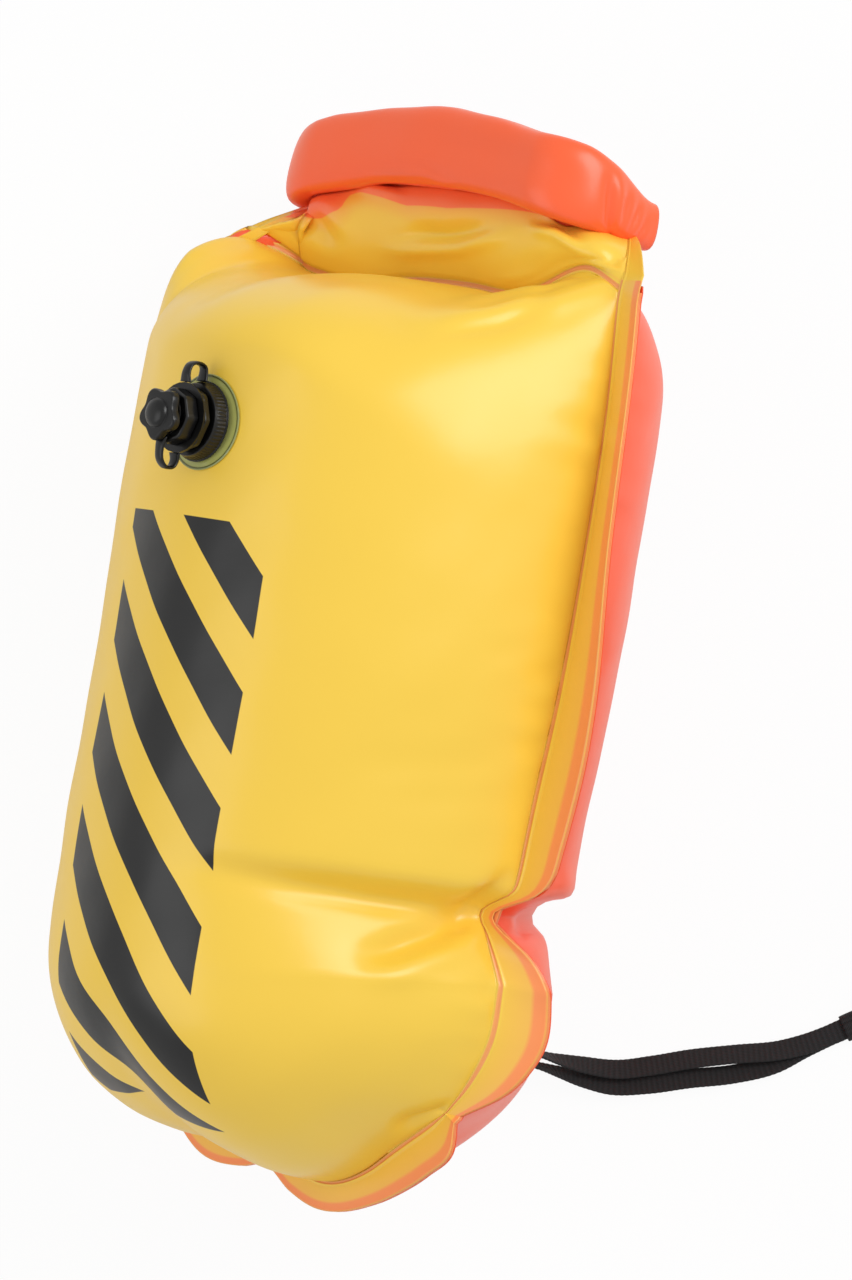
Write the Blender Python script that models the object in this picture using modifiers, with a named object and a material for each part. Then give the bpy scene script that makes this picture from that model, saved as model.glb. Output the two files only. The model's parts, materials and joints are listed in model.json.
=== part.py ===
"""Open water swim buoy: two air chambers round a dry compartment, lying on its side with its leash.

The bag is drawn in its own frame: x to its right, y towards the roll-top, z out of its front.
That frame is rolled about y, so that the bag rests on the lower left of its back.
Everything on the ground is drawn in world axes. All lengths are metres.
"""

import math

import bmesh
import bpy
import numpy as np
from mathutils import Matrix, Vector

FILM = 0.0005
CLEAR = 0.0003
SEAT = 0.0004
OVERRUN = 0.004
MERGE = 0.00001

# Bag: weld lines, depths of the two chambers and the rounding of their ends
HALF_WIDTH = 0.134
FRONT_DEPTH = 0.134
BACK_DEPTH_UNDER = 0.134
BACK_DEPTH_FREE = 0.104
CHAMBER_LENGTH = 0.445
BOTTOM_BELOW_ORIGIN = 0.235
BOTTOM_ROUNDING = 0.088
TOP_ROUNDING = 0.052
FREE_TOP_ROUNDING = 0.105
FREE_END_POWER = 1.6
FREE_EDGE_POWER = 1.25
FREE_SHARES = (0.56, 0.86)
CORNER_FADE = 0.135
FLANGE_WIDTH = 0.026
END_FLANGE_WIDTH = 0.014
REST_FLAT_DEPTH = 0.0038
ROLL_DEG = -45.0
COLUMNS = 18
LAYER = FILM + SEAT

# Places along the chamber, as shares of its length from the bottom weld
WAIST_SHARES = [0.245, 0.275, 0.308, 0.335, 0.40, 0.50, 0.60, 0.71, 0.80]
END_ANGLES = [15, 32, 50, 70, 90]
RIGHT_WELD_SHARES = [
    (0.101, 0.806), (0.133, 0.878), (0.187, 0.943), (0.248, 0.931), (0.335, 0.935), (0.447, 0.951),
    (0.564, 0.984), (0.724, 1.0), (0.872, 0.993), (1.0, 0.955),
]
# How far the fold between the lobes draws the right weld in
NOTCH_SHARES = [(0.235, 0.0), (0.285, -0.10), (0.308, -0.14), (0.335, -0.015), (0.36, 0.0)]
LEFT_WELD_SHARES = [(0.146, -0.91), (0.25, -0.985), (0.5, -1.0), (0.85, -1.0), (0.944, -0.955), (1.0, -0.93)]
LEFT_LIFT_SHARES = [(0.146, 0.10), (0.25, 0.02), (0.35, 0.0), (0.78, 0.0), (0.9, 0.12), (1.0, 0.32)]
# Degrees by which the flange leans forward of the weld plane
RIGHT_LEANS = [
    (0.1, -20), (0.14, -30), (0.187, -45), (0.235, -45), (0.27, -30), (0.308, 15), (0.335, 3), (0.46, 7),
    (0.564, 16), (0.75, 28), (0.9, 25), (1.0, 15),
]
LEFT_LEANS = [(0.146, 50), (0.25, 35), (0.5, 30), (0.85, 35), (0.944, 50), (1.0, 50)]
# How far the end welds rise above a straight line, across the bag, as shares of the chamber's length
BOTTOM_RISE_SHARES = [
    (0.0, 0.146), (0.127, 0.067), (0.25, 0.018), (0.40, 0.012), (0.48, 0.022), (0.57, 0.002), (0.70, -0.004),
    (0.80, 0.02), (0.87, 0.05), (1.0, 0.101),
]
TOP_RISE_SHARES = [
    (0.0, -0.056), (0.06, 0.0), (0.12, 0.027), (0.22, 0.008), (0.3, 0.0), (0.5, 0.0), (0.75, -0.004),
    (0.92, 0.03), (1.0, 0.012),
]
# Columns that the inner films keep of the outer films' ones, counted from the left weld
INNER_COLUMNS = [0, 1, 2, 3, 4, 7, 11, 14, 16, 18]
LIFT_COLUMN = 4

# Collar: its path in plan is a C round the bag's top, and its section is a flattened roll
COLLAR_FILM = 0.0012
ROLL_FRONT_HALF = 0.078
ROLL_BEND = 0.024
ROLL_BACK_RUN = 0.030
ROLL_FRONT_OFFSET = 0.018
ROLL_RISE = 0.052
ROLL_ARCH = 0.014
ROLL_HALF_HEIGHT = 0.021
ROLL_HALF_THICK = 0.011
ROLL_PITCH = 0.0032
ROLL_TURNS = 2.25
ROLL_STEPS_A_TURN = 9
ROLL_SQUARENESS = 0.75
# Columns of the films over which the collar starts, turns from its back runs to its bends, and ends
ROLL_COLUMNS = [4, 6, 8, 13, 16, 18]
SKIRT_ROWS = [0.15, 0.55, 1.0]
MARGIN_STAND_OFF = 0.0024
WELD_BAND = 0.004
EAR_LIP = 0.014
STIFFENER_HEIGHT = 0.020
STIFFENER_THICK = 0.0012
STIFFENER_INSET = 0.003

# Webbing
TAB_WIDTH = 0.025
TAB_BEND = 0.022
WEB_THICK = 0.0016
LEASH_WIDTH = 0.011
BELT_WIDTH = 0.020

# Side-release buckles
BUCKLE_THICK = 0.009
BUCKLE_SOCKET = 0.026
BUCKLE_BAR = 0.0035
BUCKLE_SLOT = 0.0045
BUCKLE_WALL = 0.0018
BUCKLE_BASE = 0.016
BUCKLE_ARM = 0.0035
BUCKLE_ARM_LENGTH = 0.021
BUCKLE_TONGUE = 0.005
BUCKLE_MARGIN = 0.0026
BUCKLE_WINDOW = 0.010
BUCKLE_EDGE = 0.0012

# Inflation valves
VALVE_SHARE = 0.80
DISC_RADIUS = 0.0232
DISC_THICK = 0.0008
DISC_STAND_OFF = 0.0004
DISC_RINGS = 3
DISC_SEGMENTS = 24
NECK_RADIUS = 0.0125
NECK_DEPTH = 0.010
NECK_BORE = 0.0103
SEAT_BORE = 0.0075
SEAT_THICK = 0.0015
RING_RADIUS = 0.0195
RING_HEIGHT = 0.0072
RING_FOOT = 0.0014
KNURL = 0.00035
KNURL_SEGMENTS = 36
SEAL_WIRE = 0.0008
SEAL_SIDES = 6
PLUG_HEAD_RADIUS = 0.0155
PLUG_HEAD_HEIGHT = 0.0040
PLUG_GROOVE_RADIUS = 0.0112
PLUG_GROOVE_HEIGHT = 0.0016
PLUG_GRIP_RADIUS = 0.0130
PLUG_GRIP_HEIGHT = 0.0070
PLUG_STEM_DEPTH = 0.0060
PLUG_FLOOR = 0.0015
PLUG_BORE = 0.0055
PLUG_SEGMENTS = 24
PLUG_SIDES = 8
AIR_HOLE_RADIUS = 0.0013
AIR_HOLE_CIRCLE = 0.0036
AIR_HOLES = 4
FLAP_RADIUS = 0.0068
FLAP_THICK = 0.0007
FLAP_STEM_RADIUS = 0.0010
FLAP_BUTTON_RADIUS = 0.0019
FLAP_TRAVEL = 0.0015
CAP_RADIUS = 0.0118
CAP_LOBE = 0.0014
CAP_LOBES = 5
CAP_SEGMENTS = 25
CAP_HEIGHT = 0.0050
CAP_DOME_RADIUS = 0.0052
CAP_DOME_HEIGHT = 0.0030
CAP_DOME_SHARES = [(0.0, 1.0), (0.7, 0.75), (1.0, 0.25)]
CAP_NECK_RADIUS = 0.0066
CAP_NECK_HEIGHT = 0.0022
CAP_STEM_DEPTH = 0.0050
SWIVEL_THICK = 0.0009
SWIVEL_WIDTH = 0.0032
TETHER_THICK = 0.0010
TETHER_WIDTH = 0.0040
TETHER_REACH = 0.0070

# Finding the film's point under a disc
SEARCH_PASSES = 4
SEARCH_HALVINGS = 24

# Leash anchor, low on the back
ANCHOR_SHARE = 0.157
PATCH_RADIUS = 0.028
PATCH_EYELET = 0.0034
PATCH_THICK = 0.0008
PATCH_STAND_OFF = 0.0008
LUG_WIDTH = 0.016
LUG_FOOT = 0.014
LUG_THICK = 0.0012
RING_WIRE = 0.0015
RING_HALF_WIDTH = 0.0115
RING_CORNER = 0.0040
RING_DROP = 0.0190

# Leash: the two legs lie on the ground and meet in the keeper. World x, y, z.
UPPER_LEG_POINTS = [
    (0.1150, -0.1625, 0.0260), (0.1300, -0.1655, 0.0135), (0.1450, -0.1675, 0.0080),
    (0.1620, -0.1675, 0.0062), (0.1800, -0.1625, 0.0056), (0.1990, -0.1560, 0.0054),
    (0.2220, -0.1505, 0.0054), (0.2450, -0.1462, 0.0056), (0.2580, -0.1420, 0.0052),
]
LOWER_LEG_POINTS = [
    (0.1150, -0.1725, 0.0250), (0.1310, -0.1745, 0.0120), (0.1450, -0.1760, 0.0070),
    (0.1600, -0.1768, 0.0056), (0.1800, -0.1725, 0.0052), (0.1999, -0.1663, 0.0050),
    (0.2230, -0.1608, 0.0046), (0.2430, -0.1535, 0.0040), (0.2580, -0.1440, 0.0030),
]
LEASH_LEANS = [(0.0, 0), (0.12, 8), (0.30, 55), (0.42, 62), (0.75, 62), (0.92, 88), (1.0, 90)]
LEG_STATIONS = 26
WRAP_DEGREES = (9, 35, 62, 90)
KEEPER_PLACE = (0.2840, -0.1263)
KEEPER_HEADING_DEG = 33.0
KEEPER_LENGTH = 0.018
KEEPER_WALL = 0.0009
END_LOOP_REACH = 0.026
# Where the loop's plies bend: the lower ply, the upper ply, its rise there and its first bend
END_LOOP_SHARES = (0.35, 0.45, 0.385, 0.15)

# Waist belt, put away as a closed loop drawn flat and bent into a ring
BELT_RING_RADIUS = 0.100
BELT_RING_GAP = 0.010
BELT_LIFT = 0.0028
BELT_MOUTH_DEG = 56.0
BELT_BUCKLE_DEG = 95.0
BELT_BUCKLE_RISE = 0.010
BELT_BUCKLE_SPREAD_DEG = 30.0
BELT_SLIDER_DEG = 147.0
BUCKLE_RUN_DEG = 9.0
BELT_STEPS_A_TURN = 34
SLIDER_RAIL = 0.0016
SLIDER_BAR = 0.0030
SLIDER_LENGTH = 0.022
SLIDER_THICK = 0.0016


def collection(name):
    made = bpy.data.collections.new(name)
    bpy.context.scene.collection.children.link(made)
    return made


def linear(value):
    """One sRGB channel, 0 to 255, as scene-linear light."""
    share = value / 255
    return share / 12.92 if share <= 0.04045 else ((share + 0.055) / 1.055) ** 2.4


def material(name, hex_colour, roughness, alpha=1.0):
    made = bpy.data.materials.new(name)
    made.use_nodes = True
    shader = made.node_tree.nodes["Principled BSDF"]
    channels = [linear(int(hex_colour[i : i + 2], 16)) for i in (0, 2, 4)]
    shader.inputs["Base Color"].default_value = (*channels, 1.0)
    shader.inputs["Roughness"].default_value = roughness
    shader.inputs["Alpha"].default_value = alpha
    made.diffuse_color = (*channels, alpha)
    return made


def smooth_through(stations, x):
    """Cubic curve through (place, value) stations, level beyond the first and the last."""
    places = [place for place, _ in stations]
    values = [value for _, value in stations]
    if x <= places[0]:
        return values[0]
    if x >= places[-1]:
        return values[-1]
    i = max(k for k, place in enumerate(places) if place <= x)
    slopes = np.gradient(values, places)
    span = places[i + 1] - places[i]
    t = (x - places[i]) / span
    return (
        (2 * t**3 - 3 * t**2 + 1) * values[i]
        + (t**3 - 2 * t**2 + t) * span * slopes[i]
        + (3 * t**2 - 2 * t**3) * values[i + 1]
        + (t**3 - t**2) * span * slopes[i + 1]
    )


def add_object(name, mesh, finish, parent=None, matrix=None, place="parts"):
    obj = bpy.data.objects.new(name, mesh)
    if finish:
        mesh.materials.append(finish)
    COLLECTIONS[place].objects.link(obj)
    obj.parent = parent
    if matrix is not None:
        obj.matrix_local = matrix
    if place == "cutters":
        obj.hide_render = True
        obj.display_type = "WIRE"
    return obj


def solidify(obj, thickness):
    modifier = obj.modifiers.new("thickness", "SOLIDIFY")
    modifier.thickness = thickness
    modifier.offset = 0
    modifier.use_even_offset = True
    return obj


def sheet(name, rows, thickness, finish, parent=None, matrix=None, wrap=False):
    """A skin through rows of points, each as long as the next, left open where a point is None."""
    mesh = bpy.data.meshes.new(name)
    made = bmesh.new()
    grid = [[made.verts.new(point) if point else None for point in row] for row in rows]
    for below, above in zip(grid, grid[1:]):
        pairs = list(zip(below, below[1:], above, above[1:]))
        if wrap:
            pairs.append((below[-1], below[0], above[-1], above[0]))
        for a, b, c, d in pairs:
            if a and b and c and d:
                made.faces.new((a, b, d))
                made.faces.new((a, d, c))
    made.to_mesh(mesh)
    made.free()
    mesh.shade_smooth()
    return solidify(add_object(name, mesh, finish, parent, matrix), thickness)


def ribbon(name, points, widths, width, thickness, finish, parent=None):
    """A strap along points, whose width lies along the direction given at each."""
    rows = []
    for point, direction in zip(points, widths):
        half = Vector(direction).normalized() * width / 2
        rows.append([Vector(point) - half, Vector(point) + half])
    return sheet(name, rows, thickness, finish, parent)


def lofted(name, rings, segments, finish, parent, matrix, bored):
    """A skin over level rings. A ring is (height, radius): one radius, or a list with one for each step."""
    mesh = bpy.data.meshes.new(name)
    made = bmesh.new()
    loops = []
    for height, radius in rings:
        loop = []
        for step in range(segments):
            reach = radius[step] if isinstance(radius, list) else radius
            angle = 2 * math.pi * step / segments
            loop.append(made.verts.new((reach * math.cos(angle), reach * math.sin(angle), height)))
        loops.append(loop)
    if not bored:
        made.faces.new(reversed(loops[0]))
        made.faces.new(loops[-1])
    pairs = list(zip(loops, loops[1:]))
    if bored:
        pairs.append((loops[-1], loops[0]))
    for below, above in pairs:
        for i in range(segments):
            j = (i + 1) % segments
            made.faces.new((below[i], below[j], above[j], above[i]))
    made.to_mesh(mesh)
    made.free()
    mesh.shade_smooth()
    mesh.set_sharp_from_angle(angle=math.radians(35))
    return add_object(name, mesh, finish, parent, matrix)


def turned(name, profile, segments, finish, parent, matrix, bored=False):
    """A profile of (radius, height) points, from the top down its outer side, turned about z."""
    mesh = bpy.data.meshes.new(name)
    edges = [(i, i + 1) for i in range(len(profile) - 1)]
    if bored:
        edges.append((len(profile) - 1, 0))
    mesh.from_pydata([(radius, 0, height) for radius, height in profile], edges, [])
    obj = add_object(name, mesh, finish, parent, matrix)
    modifier = obj.modifiers.new("turn", "SCREW")
    modifier.steps = segments
    modifier.render_steps = segments
    modifier.use_merge_vertices = True
    modifier.merge_threshold = MERGE
    modifier.use_smooth_shade = True
    return obj


def box(name, low, high, finish=None, parent=None, matrix=None, place="parts", edge=0):
    """A box between two corners, with its edges rounded if it has an edge radius."""
    mesh = bpy.data.meshes.new(name)
    made = bmesh.new()
    size = Vector(high) - Vector(low)
    middle = (Vector(high) + Vector(low)) / 2
    bmesh.ops.create_cube(made, size=1, matrix=Matrix.Translation(middle) @ Matrix.Diagonal((*size, 1)))
    made.to_mesh(mesh)
    made.free()
    obj = add_object(name, mesh, finish, parent, matrix, place)
    if edge:
        modifier = obj.modifiers.new("edges", "BEVEL")
        modifier.width = edge
        modifier.segments = 2
        modifier.limit_method = "ANGLE"
    return obj


def rods(name, places, radius, low, high, parent, matrix, segments=12):
    """One cutter of round rods that stand at the given places, no facet nearer than the radius."""
    radius = radius / math.cos(math.pi / segments)
    mesh = bpy.data.meshes.new(name)
    made = bmesh.new()
    for x, y in places:
        middle = Matrix.Translation((x, y, (low + high) / 2))
        bmesh.ops.create_cone(
            made, cap_ends=True, segments=segments, radius1=radius, radius2=radius, depth=high - low,
            matrix=middle,
        )
    made.to_mesh(mesh)
    made.free()
    return add_object(name, mesh, None, parent, matrix, "cutters")


def combine(obj, tool, operation):
    modifier = obj.modifiers.new(operation.lower(), "BOOLEAN")
    modifier.operation = operation
    modifier.solver = "EXACT"
    modifier.object = tool
    return obj


def u_of(across):
    """Share of the weld plane's width at a share of the half turn from weld to weld."""
    return (1 - math.cos(math.pi * across)) / 2


def rise(u, share):
    """How far a point is moved along the bag, as a share, so that the end welds get their lobes."""
    up = share * CHAMBER_LENGTH
    down = (1 - share) * CHAMBER_LENGTH
    low = max(0.0, 1 - up / CORNER_FADE) * smooth_through(BOTTOM_RISE_SHARES, u)
    high = max(0.0, 1 - down / CORNER_FADE) * smooth_through(TOP_RISE_SHARES, u)
    return low + high


def knot_point(u, share):
    """Point of the sheet that parts the chambers, u across from left to right."""
    y_share = share + rise(u, share)
    left = smooth_through(LEFT_WELD_SHARES, share + rise(0, share))
    right = smooth_through(RIGHT_WELD_SHARES, share + rise(1, share))
    lift = smooth_through(LEFT_LIFT_SHARES, y_share) * max(0.0, 1 - u / u_of(LIFT_COLUMN / COLUMNS))
    notch = smooth_through(NOTCH_SHARES, share + rise(1, share)) * eased_in(2 * u - 1)
    x = (left + (right - left) * u + notch) * HALF_WIDTH
    return Vector((x, y_share * CHAMBER_LENGTH - BOTTOM_BELOW_ORIGIN, lift * HALF_WIDTH))


def base_point(across, share):
    """The same sheet, straight between the inner films' columns, so that all four films lie parallel."""
    column = min(max(across, 0.0), 1.0) * COLUMNS
    i = max(k for k, knot in enumerate(INNER_COLUMNS[:-1]) if knot <= column)
    first = u_of(INNER_COLUMNS[i] / COLUMNS)
    second = u_of(INNER_COLUMNS[i + 1] / COLUMNS)
    t = (u_of(column / COLUMNS) - first) / (second - first)
    return knot_point(first, share).lerp(knot_point(second, share), t)


def base_normal(across, share):
    """Direction out of the parting sheet's front."""
    step = 0.5 / COLUMNS
    along = base_point(across + step, share) - base_point(across - step, share)
    up = base_point(across, min(1.0, share + step)) - base_point(across, max(0.0, share - step))
    return along.cross(up).normalized()


def fullness(share, free):
    """Depth of a chamber at a share of its length, as a share of its full depth. A free end slopes more."""
    top = TOP_ROUNDING + (FREE_TOP_ROUNDING - TOP_ROUNDING) * free
    up = min(1.0, share * CHAMBER_LENGTH / BOTTOM_ROUNDING)
    down = min(1.0, (1 - share) * CHAMBER_LENGTH / top)
    slope = 1 + (FREE_END_POWER - 1) * free
    return math.sqrt(1 - (1 - up) ** 2) * math.sqrt(1 - (1 - down) ** 2) ** slope


def eased_in(share):
    """Goes smoothly from 0 to 1."""
    share = min(1.0, max(0.0, share))
    return share * share * (3 - 2 * share)


def skin_point(side, across, share):
    """Point of an outer film's middle, across from 0 at the left weld to 1 at the right one."""
    bulge = max(0.0, math.sin(math.pi * across))
    if side > 0:
        free = eased_in((across - FREE_SHARES[0]) / (FREE_SHARES[1] - FREE_SHARES[0]))
        depth = FRONT_DEPTH * fullness(share, free)
        bulge **= 1 + (FREE_EDGE_POWER - 1) * free
    else:
        depth = BACK_DEPTH_UNDER + (BACK_DEPTH_FREE - BACK_DEPTH_UNDER) * eased_in(across)
        depth *= fullness(share, 0)
    point = base_point(across, share) + base_normal(across, share) * side * 1.5 * LAYER
    point.z += side * depth * bulge
    return point


def leaning(point, side, share, length):
    """A point moved outwards along the flange, which leans out of the weld plane."""
    table = RIGHT_LEANS if side > 0 else LEFT_LEANS
    angle = math.radians(smooth_through(table, share))
    return point + Vector((side * math.cos(angle), 0, math.sin(angle))) * length


def share_list():
    steps = [1 - math.cos(math.radians(angle)) for angle in END_ANGLES]
    low = [BOTTOM_ROUNDING / CHAMBER_LENGTH * step for step in steps]
    high = [1 - TOP_ROUNDING / CHAMBER_LENGTH * step for step in reversed(steps)]
    return [0.0, *low, *WAIST_SHARES, *high, 1.0]


def roll_half_length():
    return ROLL_FRONT_HALF + ROLL_BEND * math.pi / 2 + ROLL_BACK_RUN


def roll_reach(column):
    """Place along the collar's path, from its middle, that a column of the films leads to."""
    bent = ROLL_FRONT_HALF + ROLL_BEND * math.pi / 2
    places = [-roll_half_length(), -bent, -ROLL_FRONT_HALF, ROLL_FRONT_HALF, bent, roll_half_length()]
    return float(np.interp(column, ROLL_COLUMNS, places))


def roll_path(reach):
    """Collar's middle line in plan at a distance from its middle: point and outward normal."""
    hand = 1 if reach >= 0 else -1
    reach = abs(reach)
    bend = min(math.pi / 2, max(0.0, (reach - ROLL_FRONT_HALF) / ROLL_BEND))
    back = max(0.0, reach - ROLL_FRONT_HALF - ROLL_BEND * math.pi / 2)
    x = min(reach, ROLL_FRONT_HALF) + ROLL_BEND * math.sin(bend)
    y = roll_height() + ROLL_ARCH * (1 - (x / (ROLL_FRONT_HALF + ROLL_BEND)) ** 2)
    z = ROLL_FRONT_OFFSET - ROLL_BEND * (1 - math.cos(bend)) - back
    return Vector((hand * x, y, z)), Vector((hand * math.sin(bend), 0, math.cos(bend)))


def roll_height():
    """Height along the bag of the roll's two ends, between which it arches."""
    return CHAMBER_LENGTH - BOTTOM_BELOW_ORIGIN + ROLL_RISE


def band_point(column):
    """Top edge of the weld's band, which is a free ear at its left."""
    point = base_point(column / COLUMNS, 1.0)
    point.y += float(np.interp(column, [0, ROLL_COLUMNS[0]], [EAR_LIP, WELD_BAND]))
    return point


def skirt_point(column, up):
    """Film between the weld's band and the roll: up is 0 at the band and 1 just below the roll."""
    path, outward = roll_path(roll_reach(column))
    high = path - outward * (ROLL_HALF_THICK - COLLAR_FILM)
    high.y -= ROLL_HALF_HEIGHT + FILM + 4 * SEAT
    return band_point(column).lerp(high, up)


def skirt_normal(column, up):
    """Direction out of the skirt's front."""
    low, high = max(ROLL_COLUMNS[0], column - 0.5), min(COLUMNS, column + 0.5)
    along = skirt_point(high, up) - skirt_point(low, up)
    rising = skirt_point(column, 1.0) - skirt_point(column, 0.0)
    return along.cross(rising).normalized()


def band_row(side):
    """An outer film's row at the band's top edge, as far from the band's plane as from the skirt's."""
    row = []
    for column in range(COLUMNS + 1):
        normal = base_normal(column / COLUMNS, 1.0)
        stand_off = normal * 1.5 * LAYER
        if column >= ROLL_COLUMNS[0]:
            skirt = skirt_normal(column, 0.0)
            stand_off = (normal + skirt) / (1 + normal.dot(skirt)) * 1.5 * LAYER
        row.append(band_point(column) + stand_off * side)
    return with_flange(row, 1.0)


def margin_row(side, up):
    """A row of an outer film above the band, where it lies against the collar's skirt."""
    row = [None] * (ROLL_COLUMNS[0] + 1)
    for column in range(ROLL_COLUMNS[0], COLUMNS + 1):
        row.append(skirt_point(column, up) + skirt_normal(column, up) * side * MARGIN_STAND_OFF)
    return [*row, None]


def outer_panel(name, side, finish, parent):
    rows = []
    for share in share_list():
        row = [skin_point(side, step / COLUMNS, share) for step in range(COLUMNS + 1)]
        rows.append(with_flange(row, share))
    rows.insert(0, end_flange(rows[0]))
    rows.append(band_row(side))
    rows += [margin_row(side, up) for up in SKIRT_ROWS]
    return sheet(name, rows, FILM, finish, parent)


def with_flange(row, share):
    """A row of points with the flange's outer edge added at both ends."""
    left = leaning(row[0], -1, share + rise(0, share), FLANGE_WIDTH)
    right = leaning(row[-1], 1, share + rise(1, share), FLANGE_WIDTH)
    return [left, *row, right]


def end_flange(row):
    """The flange beyond the bottom weld."""
    return [point - Vector((0, END_FLANGE_WIDTH, 0)) for point in row]


def inner_panel(name, side, finish, parent):
    rows = []
    for share in share_list():
        row = []
        for column in INNER_COLUMNS:
            across = column / COLUMNS
            row.append(base_point(across, share) + base_normal(across, share) * side * LAYER / 2)
        rows.append(with_flange(row, share))
    rows.insert(0, end_flange(rows[0]))
    return sheet(name, rows, FILM, finish, parent)


def seat_frame(side, share):
    """Frame on the outside of a chamber's centre line: z outwards, y towards the roll-top."""
    step = 0.02
    middle = skin_point(side, 0.5, share)
    across = skin_point(side, 0.5 + step, share) - skin_point(side, 0.5 - step, share)
    along = skin_point(side, 0.5, share + step / 4) - skin_point(side, 0.5, share - step / 4)
    outward = along.cross(across).normalized() * -1
    if outward.z * side < 0:
        outward.negate()
    y = (along - outward * along.dot(outward)).normalized()
    x = y.cross(outward)
    turn = Matrix((x, y, outward)).transposed().to_4x4()
    return Matrix.Translation(middle + outward * FILM / 2) @ turn


def dished_disc(name, side, frame, hole, radius, thickness, stand_off, finish, parent):
    """A bored disc that lies on a chamber's film and follows its curve."""
    rings, segments = DISC_RINGS, DISC_SEGMENTS
    inverse = frame.inverted()
    rows = []
    for k in range(rings):
        reach = hole + (radius - hole) * k / (rings - 1)
        row = []
        for i in range(segments):
            angle = 2 * math.pi * i / segments
            level = frame @ Vector((reach * math.cos(angle), reach * math.sin(angle), 0))
            on_film = film_under(side, level)
            row.append((inverse @ on_film) + Vector((0, 0, FILM / 2 + stand_off + thickness / 2)))
        rows.append(row)
    return sheet(name, rows, thickness, finish, parent, frame, wrap=True)


def film_under(side, level):
    """The film's middle at the x and y of a bag point, found by halving across and stepping along."""
    share = (level.y + BOTTOM_BELOW_ORIGIN) / CHAMBER_LENGTH
    for _ in range(SEARCH_PASSES):
        low, high = 0.0, 1.0
        for _ in range(SEARCH_HALVINGS):
            middle = (low + high) / 2
            if skin_point(side, middle, share).x < level.x:
                low = middle
            else:
                high = middle
        point = skin_point(side, low, share)
        share += (level.y - point.y) / CHAMBER_LENGTH
    return point


def rest_height():
    """Height of the bag's frame: its lowest film is sunk by the flat, and then pressed flat."""
    heights = []
    for share in share_list():
        for step in range(COLUMNS + 1):
            heights.append((rolled() @ skin_point(-1, step / COLUMNS, share)).z)
    return -min(heights) + FILM / 2 - REST_FLAT_DEPTH


def rolled():
    return Matrix.Rotation(math.radians(ROLL_DEG), 4, "Y")


def press_flat(obj):
    """Brings what lies under the ground up to it, so that the film rests on a flat."""
    matrix = BAG.matrix_basis
    inverse = matrix.inverted()
    for vertex in obj.data.vertices:
        point = matrix @ vertex.co
        if point.z < FILM / 2:
            point.z = FILM / 2
            vertex.co = inverse @ point


def rolled_collar(finish, parent):
    """The collar's doubled film: up from the weld behind the roll, over it and round inwards."""
    rows = []
    for column in range(ROLL_COLUMNS[0], COLUMNS + 1):
        path, outward = roll_path(roll_reach(column))
        row = [skirt_point(column, up) for up in SKIRT_ROWS]
        for point in spiral_section():
            row.append(path + outward * point[0] + Vector((0, point[1], 0)))
        rows.append(row)
    return sheet("rolled_collar", rows, COLLAR_FILM, finish, parent)


def spiral_section():
    """Middle line of the roll's section, as (outwards, up), from its back over the top and in."""
    points = []
    steps = int(ROLL_TURNS * ROLL_STEPS_A_TURN)
    for step in range(steps + 1):
        turn = step / ROLL_STEPS_A_TURN
        thick = ROLL_HALF_THICK - COLLAR_FILM / 2 - ROLL_PITCH * turn
        tall = ROLL_HALF_HEIGHT - COLLAR_FILM / 2 - ROLL_PITCH * turn
        angle = math.pi - 2 * math.pi * turn
        points.append((thick * flattened(math.cos(angle)), tall * flattened(math.sin(angle))))
    return points


def flattened(value):
    """Squares off a circle a little, towards a rounded box."""
    return math.copysign(abs(value) ** ROLL_SQUARENESS, value)


def collar_stiffener(finish, parent):
    points, widths = [], []
    for column in range(ROLL_COLUMNS[0], COLUMNS + 1):
        reach = roll_reach(column) * (1 - STIFFENER_INSET / roll_half_length())
        points.append(roll_path(reach)[0])
        widths.append((0, 1, 0))
    return ribbon("collar_stiffener", points, widths, STIFFENER_HEIGHT, STIFFENER_THICK, finish, parent)


def tab_points(hand):
    """From the roll's end back and round to the closing buckle behind."""
    end, _ = roll_path(hand * roll_half_length())
    start = end + Vector((0, 0, -CLEAR))
    centre = start + Vector((-hand * TAB_BEND, 0, 0))
    points = []
    for k in range(7):
        angle = math.radians(15 * k)
        points.append(centre + Vector((hand * TAB_BEND * math.cos(angle), 0, -TAB_BEND * math.sin(angle))))
    points.append(Vector((hand * (buckle_reach() + CLEAR), roll_height(), points[-1].z)))
    return points


def buckle_reach():
    """Half the length of a closed buckle."""
    whole = BUCKLE_SOCKET + BUCKLE_SLOT + BUCKLE_BAR + BUCKLE_BASE
    return whole / 2


def collar_tab(name, hand, finish, parent):
    points = tab_points(hand)
    return ribbon(name, points, [(0, 1, 0)] * len(points), TAB_WIDTH, WEB_THICK, finish, parent)


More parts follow.
